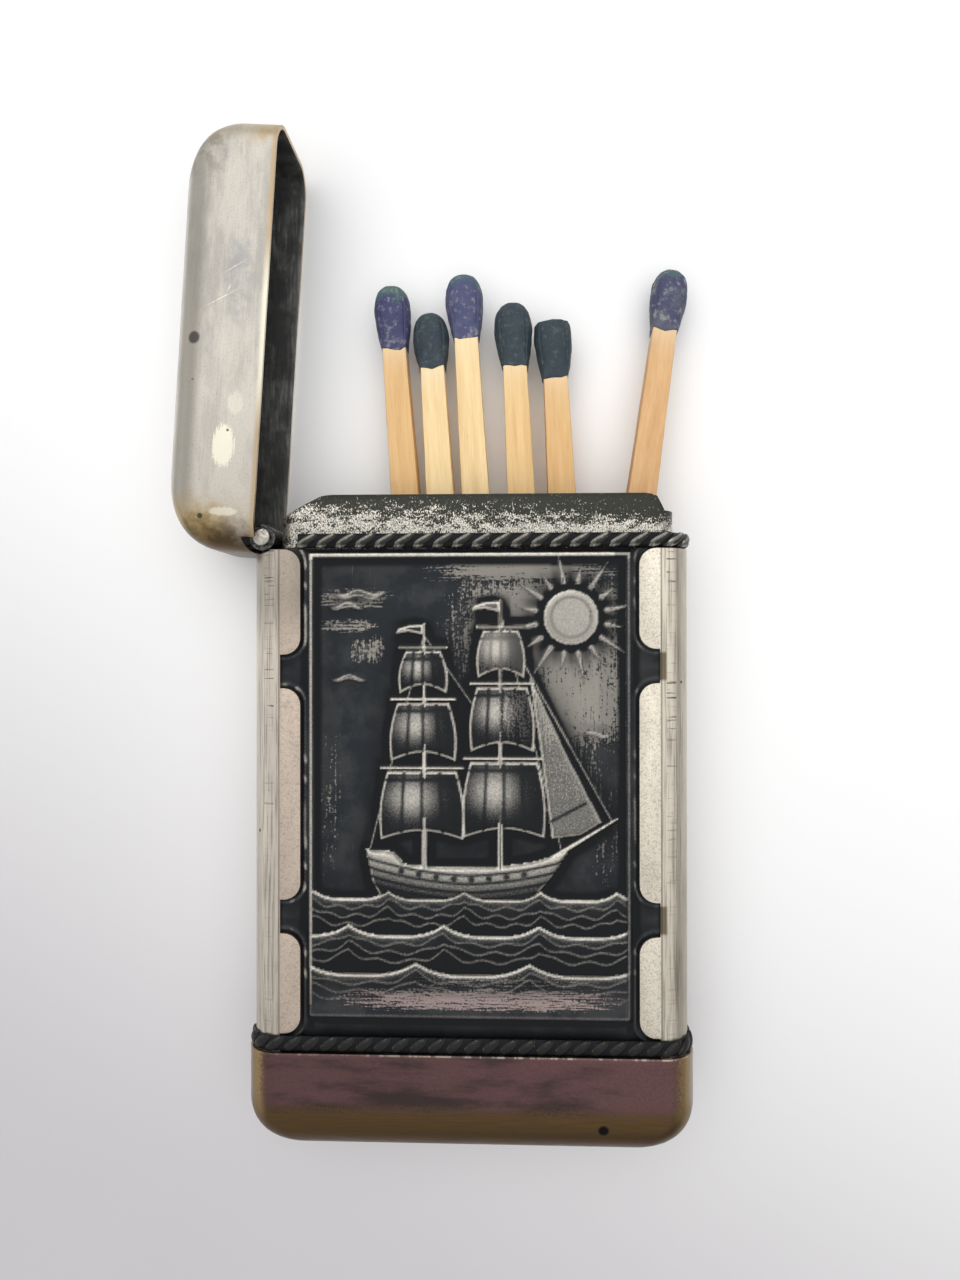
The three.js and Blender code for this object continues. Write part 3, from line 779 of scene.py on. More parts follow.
@dataclass(frozen=True)
class LidNickel:
    """Warm brushed nickel: brown brass at both ends, a painted highlight along the rim that turns brassy
    towards its ends, painted highlight patches, painted shade where the face turns towards the closed end,
    scratches and a few spots.

    Places are in the shut lid's own millimetres, from the pin axis.
    """

    plate: Colour = (0.66, 0.615, 0.545, 1)
    dull: Colour = (0.45, 0.425, 0.385, 1)
    shade: Colour = (0.25, 0.233, 0.197, 1)
    smear: Colour = (0.37, 0.365, 0.365, 1)
    gold: Colour = (0.45, 0.32, 0.14, 1)
    brown: Colour = (0.095, 0.060, 0.030, 1)
    edge: Colour = (0.50, 0.37, 0.22, 1)
    # Colour of the painted highlights and of the scratches
    highlight_and_scratch: Colour = (0.96, 0.93, 0.76, 1)
    mark_black: Colour = (0.05, 0.047, 0.045, 1)
    rim: float = 0.5
    face_z: float = 5.5
    scratch: float = 0.055
    # Painted highlights: middle along and across the lid, half sizes and strength
    highlight_patches: Rows = (
        (7.3, 3.4, 2.2, 1.15, 0.88), (1.85, 3.1, 0.45, 1.5, 0.5), (10.9, 2.6, 1.2, 0.8, 0.3),
    )
    lines: Rows = (
        (18.6, 5.9, 20.5, 2.7), (21.5, 4.4, 23.0, 2.1), (19.9, 3.9, 20.9, 3.5),
    )
    spots: Rows = (
        (16.2, 6.4, 0.36), (13.7, 7.1, 0.13), (12.7, 6.3, 0.12), (11.0, 7.0, 0.12), (1.4, 5.0, 0.16),
        (29.5, 6.6, 0.1), (8.6, 3.1, 0.1),
    )

    def build(self) -> Material:
        """Wire the finish.

        Returns:
            The material.
        """
        finish = Finish("lid_nickel")
        graph = finish.graph
        here = graph.millimetres((SIZES.hinge_x, SIZES.hinge_y, 0), SIZES.lid_open)
        x, y, _ = graph.parts(here)
        brush = here.grain((0.3, 9, 9), 0.3, 0.72)
        fine = here.grain(5, 0.4, 0.7)
        cloud = here.grain((0.16, 0.5, 0.5), 0.4, 0.66)
        blot = here.grain(0.9, 0.36, 0.66)
        worn = cloud * 0.6 + brush * 0.25
        worn = (worn + x.ramp(4, 24, -0.3, 0.3)).held()
        colour = graph.mix(worn, self.plate, self.dull)
        pocks = here.grain((6, 7.5, 7.5), 0.54, 0.66)
        colour = graph.mix(pocks * 0.36, colour, self.shade)
        # Painted shade in a band where the face turns down towards the closed end
        side = y.ramp(5.2, 6.7, 0, 0.68) * y.ramp(8, 7.5)
        colour = graph.mix(side, colour, self.shade)
        haze = self.patch(graph, here, (21.5, 2.9, 5, 1.3)) * blot.ramp(0, 1, 0.15, 0.75)
        colour = graph.mix(haze, colour, self.smear)
        ragged = x + (blot - 0.5) * 0.9
        gold = ragged.ramp(0.2, 4.2, 1, 0) * y.ramp(1.6, 4.4, 0.3, 1)
        free = ragged.ramp(32, 34.2, 0, 0.75) * x.ramp(34.5, 35.1, 1, 0.3)
        free = free * y.ramp(1.6, 3.4, 1, 0.4)
        gold = gold | free
        smudge = ragged.ramp(28.5, 32.5) * ragged.ramp(34.6, 33.2)
        smudge = smudge * y.ramp(3.6, 5.8) * blot.ramp(0.1, 0.8, 0.1, 0.8)
        colour = graph.mix(smudge, colour, self.shade)
        colour = graph.mix(gold, colour, self.gold)
        colour = graph.mix(ragged.ramp(-0.9, 1.9, 0.95, 0), colour, self.brown)
        # A painted highlight along the rim, brassy towards its ends and near white in its middle
        rim = y.ramp(self.rim + 0.12, self.rim + 0.55, 0.85, 0)
        polished = abs(x - 17).ramp(3, 9, 0.85, 0)
        colour = graph.mix(rim, colour, graph.mix(polished, self.edge, self.highlight_and_scratch))
        # Painted highlight patches, and the scratches
        colour = graph.mix(self.shine(graph, here, brush, fine), colour, self.highlight_and_scratch)
        dark_marks = self.dark_marks(graph, here)
        colour = graph.mix(dark_marks * 0.85, colour, self.mark_black)
        rough = worn.ramp(0, 1, 0.3, 0.42) + fine * 0.06
        height = brush * 0.4 - dark_marks
        normal = graph.bump(height, 0.3, 0.03)
        return finish.set(Base_Color=colour, Metallic=1, Roughness=rough, Normal=normal)

    def patch(self, graph: Graph, here: Wire, spot: Sequence[float]) -> Wire:
        """A soft oval on the front.

        Args:
            graph: The finish's graph.
            here: The lid's own coordinates.
            spot: Its middle and its half sizes along and across the lid.

        Returns:
            A mask.
        """
        x, y, half_x, half_y = spot
        flat = graph.node("Mapping", vector_type="TEXTURE")
        oval = graph.fill(flat, Vector=here, Location=(x, y, self.face_z), Scale=(half_x, half_y, 1))
        return graph.near(oval, (0, 0, 0), 0.35, 1.3)

    def shine(self, graph: Graph, here: Wire, brush: Wire, fine: Wire) -> Wire:
        """The ragged patches painted as highlights, and the slanting scratches.

        Args:
            graph: The finish's graph.
            here: The lid's own coordinates.
            brush: Brush lines that break their edges.
            fine: Fine noise that breaks their edges.

        Returns:
            A mask.
        """
        broken = brush * 0.4 + fine * 0.22
        total = None
        for *spot, most in self.highlight_patches:
            reach = self.patch(graph, here, spot) + broken
            mask = reach.ramp(0.66, 0.96, 0, most)
            total = mask if total is None else total | mask
        for x0, y0, x1, y1 in self.lines:
            slant = graph.node("Mapping", vector_type="TEXTURE")
            middle = ((x0 + x1) / 2, (y0 + y1) / 2, self.face_z)
            spin = (0, 0, math.atan2(y1 - y0, x1 - x0))
            size = (math.hypot(x1 - x0, y1 - y0) / 2, self.scratch, 1)
            there = graph.fill(slant, Vector=here, Location=middle, Rotation=spin, Scale=size)
            line = graph.near(there, (0, 0, 0), 0.3, 1.1)
            total = total | line * fine.ramp(0, 0.6, 0.3, 0.7)
        return total

    def dark_marks(self, graph: Graph, here: Wire) -> Wire:
        """The dark spots.

        Args:
            graph: The finish's graph.
            here: The lid's own coordinates.

        Returns:
            A mask.
        """
        total = None
        for x, y, radius in self.spots:
            z = self.face_z - max(0, y - 5.6) ** 2 * 0.32
            spot = graph.near(here, (x, y, z), radius * 1.2, radius * 1.8)
            total = spot if total is None else total | spot
        return total


@dataclass(frozen=True)
class CapBrass:
    """Mauve tarnish on the flat of the base cap, brown brass on its rounded edges, painted highlights on its
    lip, its sides and the turns of its corners, one pit near the end.
    """

    tarnish: Colour = (0.152, 0.081, 0.081, 1)
    shade: Colour = (0.062, 0.043, 0.043, 1)
    brass: Colour = (0.122, 0.074, 0.029, 1)
    # gold and bright are the colours of the painted highlights
    gold: Colour = (0.42, 0.29, 0.14, 1)
    bright: Colour = (0.55, 0.49, 0.40, 1)
    pit: Colour = (0.012, 0.011, 0.010, 1)
    pit_place: tuple[float, float, float] = (11.0, 2.4, 5.5)

    def build(self) -> Material:
        """Wire the finish.

        Returns:
            The material.
        """
        finish = Finish("cap_brass")
        graph = finish.graph
        here = graph.millimetres()
        x, y, _ = graph.parts(here)
        brush = here.grain((0.45, 8, 8), 0.3, 0.75)
        cloud = here.grain((0.09, 0.36, 0.2), 0.44, 0.66)
        sand = here.grain(4.5, 0.4, 0.68)
        out = abs(x)
        ragged = (sand - 0.5) * 0.8
        flat_y = (y + ragged).ramp(3.1, 4.3)
        flat_x = (out + ragged).ramp(16.4, 17.6, 1, 0)
        flat = flat_y * flat_x
        # A broken painted highlight along the lip
        lip_highlight = y.ramp(SIZES.cap_height - 0.2, SIZES.cap_height - 0.08, 0, 0.8)
        nicks = here.grain((1.3, 0.2, 0.6), 0.44, 0.6)
        lip_highlight = lip_highlight * (nicks.ramp(0, 1, 0.12, 1) * x.ramp(-15, 8, 0.5, 1))
        # A painted highlight down each outer side
        side = out.ramp(17.7, 18.5, 0, 0.6) * y.ramp(3, 5, 0.35, 1)
        stain = graph.mix(cloud, self.tarnish, self.shade)
        stain = graph.mix(sand * 0.3, stain, self.shade)
        bare = graph.mix(brush * 0.45, self.brass, self.shade)
        # A painted golden highlight on the turn of each corner
        turn = out.ramp(16.6, 17.5) * out.ramp(18.5, 17.7)
        bare = graph.mix(turn * y.ramp(1.6, 5.5, 0.15, 0.8), bare, self.gold)
        colour = graph.mix(flat, bare, stain)
        colour = graph.mix(lip_highlight | side, colour, self.bright)
        pit = graph.near(here, self.pit_place, 0.3, 0.55)
        colour = graph.mix(pit, colour, self.pit)
        rough = brush.ramp(0, 1, 0.32, 0.42) + cloud * 0.08
        height = brush * 0.4 - pit
        normal = graph.bump(height, 0.3, 0.03)
        return finish.set(Base_Color=colour, Metallic=1, Roughness=rough, Normal=normal)


@dataclass(frozen=True)
class BlackenedSilver:
    """Blackened plate, worn bright on its edges and brushed dry where hands have polished the ground, with
    painted light and shade.

    The mesh carries rub, 1 on edges that stand proud, which also holds painted highlights; drag, sweep and
    speck, which say how much of the ground is polished in streaks down the case, in streaks across it and in
    fine grains; and hollow,
    1 in recesses, which also holds painted shade.
    """

    black: Colour = (0.013, 0.014, 0.016, 1)
    slate: Colour = (0.028, 0.032, 0.037, 1)
    smoke: Colour = (0.050, 0.053, 0.056, 1)
    satin: Colour = (0.36, 0.335, 0.295, 1)
    silver: Colour = (0.80, 0.755, 0.67, 1)
    blush: Colour = (0.42, 0.315, 0.30, 1)
    olive: Colour = (0.044, 0.045, 0.036, 1)

    def build(self) -> Material:
        """Wire the finish.

        Returns:
            The material.
        """
        finish = Finish("blackened_silver")
        graph = finish.graph
        here = graph.millimetres()
        _, y, _ = graph.parts(here)
        painted = ("rub_and_highlight", "drag", "sweep", "speck", "black_and_shade")
        rub_and_highlight, drag, sweep, speck, black_and_shade = (graph.attribute(name) for name in painted)
        down = here.grain((6.5, 0.42, 2), 0.28, 0.72)
        over = here.grain((0.42, 6.5, 2), 0.28, 0.72)
        sand = here.grain(5, 0.3, 0.7)
        cloud = here.grain(0.3, 0.4, 0.62)
        grit = here.grain((7, 4.5, 7), 0.26, 0.74)
        clump = here.grain((0.9, 1.6, 0.9), 0.36, 0.64)
        dust = here.grain((10, 7, 10), 0.3, 0.7)
        hairs = here.grain((9, 0.22, 3), 0.62, 0.72)
        polish = self.dry(drag, down, sand, 0.5) | self.dry(sweep, over, sand, 0.4)
        hairs = hairs * cloud.ramp(0.2, 0.9, 0.03, 0.22)
        polish = polish * 0.9 | hairs
        polish = polish * (1 - black_and_shade)
        # Edges worn bright, together with painted highlights and the painted light on lit forms
        worn = rub_and_highlight + (dust - 0.5) * 0.15
        proud = worn.ramp(0.12, 0.88) * sand.ramp(0.1, 0.8, 0.74, 1)
        neck = speck.ramp(0.02, 0.15)
        speck = speck * clump.ramp(0, 1, 0.62, 1.28)
        grains = self.dry(speck, grit, dust, 0.5) * dust.ramp(0.2, 0.8, 0.3, 1)
        proud = proud | grains
        ground = graph.mix(neck, graph.mix(cloud, self.slate, self.smoke), self.olive)
        # Black in recesses, together with painted shade
        ground = graph.mix(black_and_shade, ground, self.black)
        warm = y.ramp(15, 12.4, 0, 0.85)
        colour = graph.mix(polish, ground, graph.mix(warm, self.satin, self.blush))
        colour = graph.mix(proud, colour, graph.mix(warm, self.silver, self.blush))
        bright = polish | proud
        rough = bright.ramp(0, 1, 0.44, 0.32)
        height = sand * 0.35 + polish * 0.5
        normal = graph.bump(height, 0.25, 0.03)
        return finish.set(Base_Color=colour, Metallic=0.85, Roughness=rough, Normal=normal)

    @staticmethod
    def dry(amount: Wire, streak: Wire, sand: Wire, grainy: float) -> Wire:
        """Dry-brushed polish: solid where there is much of it, streaks and a share of grains at its edges."""
        noise_sum = streak * (1 - grainy) + sand * grainy
        return (amount + noise_sum).ramp(0.98, 1.16)


@dataclass(frozen=True)
class DarkInside:
    """Smoky, mottled inner side of the drawn sheet."""

    dark: Colour = (0.095, 0.100, 0.095, 1)
    pale: Colour = (0.27, 0.27, 0.255, 1)

    def build(self) -> Material:
        """Wire the finish.

        Returns:
            The material.
        """
        finish = Finish("dark_inside")
        graph = finish.graph
        here = graph.millimetres()
        cloud = here.grain((0.4, 0.3, 0.4), 0.4, 0.66)
        brush = here.grain((5, 0.5, 5), 0.35, 0.75)
        colour = graph.mix(cloud * (brush + 0.3), self.dark, self.pale)
        rough = brush.ramp(0, 1, 0.42, 0.58)
        normal = graph.bump(brush, 0.2, 0.03)
        return finish.set(Base_Color=colour, Metallic=0.8, Roughness=rough, Normal=normal)


@dataclass(frozen=True)
class TurnedMetal:
    """Small metal pieces: pin, rivet and spring, with dull patches and small dents."""

    name: str
    plate: Colour
    dull: Colour

    def build(self) -> Material:
        """Wire the finish.

        Returns:
            The material.
        """
        finish = Finish(self.name)
        graph = finish.graph
        here = graph.millimetres()
        sand = here.grain(3.2, 0.36, 0.66)
        dents = here.grain(1.6, 0.3, 0.72)
        colour = graph.mix(sand, self.plate, self.dull)
        rough = sand.ramp(0, 1, 0.26, 0.44)
        return finish.set(Base_Color=colour, Metallic=1, Roughness=rough, Normal=graph.bump(dents, 0.5, 0.12))


@dataclass(frozen=True)
class MatchWood:
    """Split pine, its grain running along one match. The mesh carries pale, 1 next to the head."""

    number: int
    x: float
    lean: float
    light: Colour
    dark: Colour
    cream: Colour = (0.93, 0.78, 0.53, 1)
    apart: float = 37.0

    def build(self) -> Material:
        """Wire the finish.

        Returns:
            The material.
        """
        finish = Finish(f"match_wood_{self.number}")
        graph = finish.graph
        here = graph.millimetres((self.x, self.number * self.apart, 0), self.lean)
        fibre = here.grain((5, 0.22, 5), 0.36, 0.72)
        rings = here.grain((1, 0.07, 1), 0.4, 0.66)
        pores = here.grain((8, 0.9, 8), 0.62, 0.72)
        share = rings * 0.35 + fibre * 0.25
        share = (share + pores * 0.3).held()
        colour = graph.mix(share, self.light, self.dark)
        colour = graph.mix(graph.attribute("pale") * 0.55, colour, self.cream)
        rough = fibre.ramp(0, 1, 0.62, 0.8)
        height = fibre - pores
        return finish.set(Base_Color=colour, Roughness=rough, Normal=graph.bump(height, 0.35, 0.06))


@dataclass(frozen=True)
class MatchCompound:
    """Dull match compound, speckled, with a tip of another colour. The mesh carries along, 1 at the tip."""

    name: str
    body: Colour
    mottle: Colour
    tip: Colour
    tip_from: float
    speckle: float
    fleck: Colour = (0.36, 0.36, 0.34, 1)

    def build(self) -> Material:
        """Wire the finish.

        Returns:
            The material.
        """
        finish = Finish(self.name)
        graph = finish.graph
        here = graph.millimetres()
        along = graph.attribute("along")
        blot = here.grain(0.8, 0.42, 0.64)
        sand = here.grain(3.6, 0.56, 0.7)
        chips = graph.place(Effects.pits(), Vector=here, Scale=1.7, Size=0.34)
        ragged = along + (blot - 0.5) * 0.16
        tip = ragged.ramp(self.tip_from - 0.06, self.tip_from + 0.1)
        colour = graph.mix(blot * 0.6, self.body, self.mottle)
        colour = graph.mix(tip, colour, self.tip)
        flecks = here.grain(1.7, 0.53, 0.66)
        flecks = flecks * 0.8 | chips * 0.4
        pale = sand * 0.13 | flecks * self.speckle
        colour = graph.mix(pale, colour, self.fleck)
        rough = sand.ramp(0, 1, 0.72, 0.9)
        height = sand * 0.4 + blot
        return finish.set(Base_Color=colour, Roughness=rough, Normal=graph.bump(height, 0.5, 0.1))


@dataclass
class DrawnCup:
    """A cup drawn from sheet: open rim, flat closed end, rounded between the two."""

    rim_y: float
    end_y: float
    half_x: float
    half_z: float
    round_x: float
    round_y: float
    round_z: float
    face_y: float
    centre_x: float = 0.0
    straight: float = 0.4
    corner_steps: int = 9
    end_steps: int = 14

    def build(self) -> Piece:
        """Draw the cup and give it its wall.

        Returns:
            The cup, its inner side in the second material slot.
        """
        way = math.copysign(1, self.end_y - self.rim_y)
        levels = [(self.rim_y + way * run, self.half_x, self.half_z) for run in (0, self.straight)]
        for step in range(self.end_steps + 1):
            angle = step / self.end_steps * math.pi / 2
            to_end = self.round_y * (1 - math.sin(angle))
            share = max(0.0, 1 - to_end / self.face_y)
            half_x = self.half_x - self.round_x * (1 - math.cos(angle))
            half_z = self.half_z - self.round_z * (1 - math.sqrt(1 - share * share))
            levels.append((self.end_y - way * to_end, half_x, half_z))
        radius = SIZES.edge_radius
        obj = outline(self.half_x, self.half_z, radius, self.rim_y, self.centre_x, self.corner_steps)
        draw_out(levels, self.centre_x)
        drop_faces(obj, lambda middle: abs(middle.y - self.rim_y) < 0.01)
        face_out(obj)
        for _ in range(2):
            obj.data.materials.append(None)
        modify(
            obj, "SOLIDIFY", thickness=SIZES.sheet, offset=-1, use_even_offset=True, material_offset=1,
            material_offset_rim=0,
        )
        return obj


@dataclass
class BaseCap:
    """Base cap with the striker grooves pressed into its flat end."""

    grooves: int = 20
    pitch: float = 1.1
    groove: float = 0.45
    depth: float = 0.15
    half_length: float = 2.2
    groove_edge: float = 0.08
    edge: float = 0.06
    cup: DrawnCup = field(default_factory=lambda: DrawnCup(
        rim_y=SIZES.cap_height, end_y=0, half_x=SIZES.cap_half_x, half_z=SIZES.cap_half_z,
        round_x=4.3, round_y=4.1, round_z=2.9, face_y=3.0,
    ))

    def build(self, finish: Material, inside: Material) -> None:
        """Model the cap and dress it.

        Args:
            finish: Outer finish.
            inside: Finish of the inner side.
        """
        obj = self.cup.build()
        half = self.groove / 2
        tool = block((-half, -1, -self.half_length), (half, self.depth, self.half_length))
        soften(tool, self.groove_edge)
        first = -(self.grooves - 1) / 2 * self.pitch
        rows = [first + index * self.pitch for index in range(self.grooves)]
        tools = copies(tool, [Matrix.Translation((row, 0, 0)) for row in rows])
        cut_out(obj, tools)
        soften(obj, self.edge)
        deliver(obj, "cap_shell", Body.CASE.value, [finish, inside], ["base_cap"])


@dataclass
class SideBands:
    """The two nickel bands: strips folded round the long edges, their flanges cut into lobes."""

    bend_steps: int = 10
    lobe_steps: int = 7
    edge: float = 0.07

    def strip(self, side: int) -> Piece:
        """Fold one band.

        Args:
            side: -1 for the left band, 1 for the right one.

        Returns:
            The band with its wall.
        """
        fold = SIZES.band_half_x - SIZES.band_radius
        xs = sorted((side * SIZES.lobe_x, side * fold))
        obj = plate((xs[0], SIZES.foot_y), (xs[1], SIZES.panel_y1), SIZES.band_half_z)
        edit(obj)
        notches = SIZES.notches(side)
        for y in (SIZES.panel_y0, *notches[0], *notches[1]):
            cut_across((0, y, 0), (0, 1, 0))
        cut_across((side * SIZES.notch_x, 0, 0), (1, 0, 0))
        gaps = [(SIZES.foot_y, SIZES.panel_y0), *notches]
        drop_faces(
            obj, lambda middle: abs(middle.x) < SIZES.notch_x and any(a < middle.y < b for a, b in gaps)
        )
        pick(obj, Pick.VERTS, lambda place: abs(abs(place.x) - SIZES.lobe_x) < 0.01)
        bpy.ops.mesh.bevel(offset=SIZES.lobe_round, segments=self.lobe_steps, affect="VERTICES")
        pick(obj, Pick.EDGES, lambda middle: abs(abs(middle.x) - fold) < 0.001)
        axis_z = SIZES.band_half_z - SIZES.band_radius
        bpy.ops.mesh.spin(
            steps=self.bend_steps, angle=-side * math.pi / 2, center=(side * fold, 0, axis_z), axis=(0, 1, 0)
        )
        pull((0, 0, -axis_z))
        clear()
        modify(obj, "MIRROR", use_axis=(False, False, True), merge_threshold=0.002)
        face_out(obj)
        self.turn_outwards(obj)
        modify(obj, "SOLIDIFY", thickness=SIZES.sheet, offset=-1, use_even_offset=True)
        return obj

    @staticmethod
    def turn_outwards(obj: Piece) -> None:
        """Flip an open sheet whose front faces look inwards.

        Args:
            obj: The sheet.
        """
        front = max(obj.data.polygons, key=lambda face: face.center.z)
        if front.normal.z < 0:
            edit(obj)
            mark_all()
            bpy.ops.mesh.flip_normals()
            clear()

    def build(self, finish: Material) -> None:
        """Model both bands and dress them.

        Args:
            finish: Their finish.
        """
        for side, name in ((-1, "left"), (1, "right")):
            obj = self.strip(side)
            if side < 0:
                x, y = SIZES.hinge_x, SIZES.hinge_y
                cut_out(obj, rod(SIZES.hinge_clear, (x, y, -THROUGH), (x, y, THROUGH)))
            soften(obj, self.edge)
            deliver(obj, f"{name}_band", Body.CASE.value, [finish], [f"{name}_side_band"])


class Relief:
    """Heights over a grid of points, built up from flat shapes with rounded shoulders and worn edges, some
    with painted light and shade.
    """

    def __init__(self, x: np.ndarray, y: np.ndarray) -> None:
        """Start from a flat ground.

        Args:
            x: X of each point.
            y: Y of each point.
        """
        self.x = x
        self.y = y
        self.height = np.zeros_like(x)
        self.proud = np.zeros_like(x)
        self.dark_and_shade = np.zeros_like(x)

    def inside(self, points: Sequence[Point]) -> np.ndarray:
        """Distance in from the edge of a polygon, negative outside it.

        Args:
            points: The polygon's corners.

        Returns:
            The distance at each point of the grid.
        """
        nearest = np.full(self.x.shape, np.inf)
        within = np.zeros(self.x.shape, dtype=bool)
        for (ax, ay), (bx, by) in zip(points, [*points[1:], points[0]]):
            ex, ey = bx - ax, by - ay
            px, py = self.x - ax, self.y - ay
            share = np.clip((px * ex + py * ey) / (ex * ex + ey * ey), 0, 1)
            nearest = np.minimum(nearest, (px - ex * share) ** 2 + (py - ey * share) ** 2)
            if ay != by:
                within ^= ((ay > self.y) != (by > self.y)) & (self.x < ex * (self.y - ay) / ey + ax)
        distance = np.sqrt(nearest)
        return np.where(within, distance, -distance)

    def along(self, start: Point, end: Point, wide: float, thin: float) -> np.ndarray:
        """Distance in from the edge of a tapered bar.

        Args:
            start: Middle of its first end.
            end: Middle of its other end.
            wide: Half width at the start.
            thin: Half width at the end.

        Returns:
            The distance at each point of the grid.
        """
        ex, ey = end[0] - start[0], end[1] - start[1]
        px, py = self.x - start[0], self.y - start[1]
        share = np.clip((px * ex + py * ey) / (ex * ex + ey * ey), 0, 1)
        return wide + (thin - wide) * share - np.hypot(px - ex * share, py - ey * share)

    @staticmethod
    def shoulder(depth: np.ndarray, width: float) -> np.ndarray:
        """A round shoulder: 0 at the edge, 1 from the given distance inwards."""
        return 1 - (1 - np.clip(depth / width, 0, 1)) ** 2

    def raise_to(
        self, depth: np.ndarray, height: float | np.ndarray, width: float, rim: float = 0.8,
        fill: float | np.ndarray = 0.1, dark: float | np.ndarray = 0.6,
    ) -> None:
        """Raise a shape over what is there.

        Args:
            depth: Distance in from the shape's edge.
            height: Its height.
            width: Width of its shoulder.
            rim: How bright its edge is worn.
            fill: How bright the rest of it is worn, with painted light on the sails and hull.
            dark: How black the rest of it is, with painted shade on the sails and hull.
        """
        risen = height * self.shoulder(depth, width)
        line = np.maximum(rim * np.exp(-(((depth - 0.16) / 0.115) ** 2)), fill)
        on_top = (depth > 0) & (risen >= self.height)
        self.proud = np.where(on_top, line, self.proud)
        self.dark_and_shade = np.where(on_top, dark, self.dark_and_shade)
        self.height = np.maximum(self.height, risen)

    def groove(self, distance: np.ndarray, depth: float | np.ndarray, width: float) -> None:
        """Press a soft, dark line into what is there.

        Args:
            distance: Distance from the line.
            depth: Depth of the line.
            width: Half its width.
        """
        line = np.exp(-((distance / width) ** 2))
        self.height = self.height - depth * line
        self.proud = self.proud * (1 - 0.7 * line * (np.asarray(depth) > 0))

    def ridge(
        self, distance: np.ndarray, rise: float | np.ndarray, width: float, rim: float | np.ndarray = 0.0,
    ) -> None:
        """Add a soft ridge on what is there.

        Args:
            distance: Distance from the ridge's line.
            rise: Height of the ridge.
            width: Half its width.
            rim: How bright it is worn.
        """
        line = np.exp(-((distance / width) ** 2))
        self.height = self.height + rise * line
        self.proud = np.maximum(self.proud, rim * line * (np.asarray(rise) > 0))


@dataclass
class ShipPicture:
    """A two-masted ship on rolling waves under a low sun, in low relief."""

    sea: float = SIZES.frame_y0 + 9.6
    hull: tuple[Point, ...] = (
        (-8.6, 4.3), (-8.1, 1.6), (-7.3, 0.2), (-5.6, -0.6), (3.6, -0.6), (5.4, 0.3), (6.9, 2.1), (8.4, 4.5),
        (7.0, 3.9), (5.2, 3.3), (2.0, 2.9), (-2.6, 2.85), (-5.4, 3.1), (-6.2, 4.1),
    )
    masts: Rows = ((-3.7, 23.0), (2.6, 24.9))
    sails: Rows = (
        (-3.9, 5.0, 10.8, 3.5, 2.95), (-3.8, 11.5, 16.5, 2.75, 2.2), (-3.8, 17.1, 20.8, 2.0, 1.5),
        (2.9, 5.2, 11.6, 3.4, 2.85), (2.75, 12.3, 17.8, 2.65, 2.15), (2.65, 18.4, 22.5, 1.95, 1.5),
    )
    waves: Rows = (
        (9.8, 0.7, 6.3, 0.4, 0.12), (6.8, 0.9, 7.9, 2.1, 0.22), (3.6, 1.0, 9.4, 4.4, 0.32),
    )
    sun: tuple[float, float, float] = (SIZES.frame_half_x - 4.9, SIZES.frame_y1 - 5.4, 2.3)
    clouds: Rows = (
        (-9.0, 46.2, 2.6, 0.36), (-10.2, 45.2, 1.7, 0.3), (-10.0, 39.2, 1.8, 0.28), (10.6, 34.6, 1.5, 0.26),
    )
    stays: tuple[tuple[Point, Point], ...] = (
        ((-8.2, 4.4), (-3.7, 22.2)), ((7.6, 4.4), (2.6, 24.0)), ((11.8, 6.7), (2.6, 23.2)),
        ((-3.7, 22.0), (2.6, 13.0)),
    )
    pennant: tuple[Point, ...] = (
        (0, 0), (0, -1.0), (-1.3, -0.7), (-2.5, -0.9), (-2.2, -0.35), (-1.2, -0.05),
    )
    bow_sail: tuple[Point, ...] = ((6.8, 5.2), (9.2, 5.5), (11.0, 6.6), (8.2, 12.0), (4.9, 19.0), (6.0, 11.6))

    def carve(self, relief: Relief) -> None:
        """Raise the whole picture.

        Args:
            relief: The ground that it stands on.
        """
        self.sky(relief)
        self.rigging(relief)
        for sail in self.sails:
            self.sail(relief, *sail)
        self.jib(relief)
        self.ship_hull(relief)
        for wave in self.waves:
            self.wave(relief, *wave)

    def sky(self, relief: Relief) -> None:
        """The sun with its rays, and flat streaks of cloud.

        Args:
            relief: What it stands on.
        """
        cx, cy, radius = self.sun
        dx, dy = relief.x - cx, relief.y - cy
        reach = np.hypot(dx, dy)
        for ray in range(16):
            long = 5.6 if ray % 2 == 0 else 4.4
            angle = ray * math.pi / 8 + 0.2
            start = (cx + math.cos(angle) * 3.0, cy + math.sin(angle) * 3.0)
            end = (cx + math.cos(angle) * long, cy + math.sin(angle) * long)
            relief.raise_to(relief.along(start, end, 0.27, 0.07), 0.10, 0.25, 0.5)
        dome = 0.20 + 0.06 * np.cos(np.clip(reach / radius, 0, 1) * 1.5)
        relief.raise_to(radius - reach, dome, 0.5, 0.75, 0.42, 0.2)
        relief.groove(np.abs(reach - radius * 0.72), np.where(reach < radius, 0.035, 0.0), 0.12)
        for x, y, long, thick in self.clouds:
            wobble = 0.16 * np.sin((relief.x - x) * 2.6 + y)
            px, py = (relief.x - x) / long, (relief.y - y - wobble) / thick
            relief.raise_to((1 - np.hypot(px, py)) * thick, 0.10, thick, 0.5)

    def rigging(self, relief: Relief) -> None:
        """Masts, yards, bowsprit, stays and two pennants.

        Args:
            relief: What it stands on.
        """
        for (ax, ay), (bx, by) in self.stays:
            stay = relief.along((ax, ay + self.sea), (bx, by + self.sea), 0.13, 0.13)
            relief.raise_to(stay, 0.10, 0.12, 0.55)
        relief.raise_to(relief.along((6.8, self.sea + 3.6), (12.2, self.sea + 6.9), 0.26, 0.14), 0.26, 0.2)
        for x, top in self.masts:
            relief.raise_to(relief.along((x, self.sea + 2.8), (x, self.sea + top), 0.30, 0.15), 0.30, 0.2)
            flag = [(x + px, self.sea + top + py) for px, py in self.pennant]
            relief.raise_to(relief.inside(flag), 0.22, 0.25)
        for x, _, head, _, half in self.sails:
            start, end = (x - half - 0.45, self.sea + head + 0.22), (x + half + 0.45, self.sea + head + 0.22)
            relief.raise_to(relief.along(start, end, 0.17, 0.17), 0.26, 0.16)

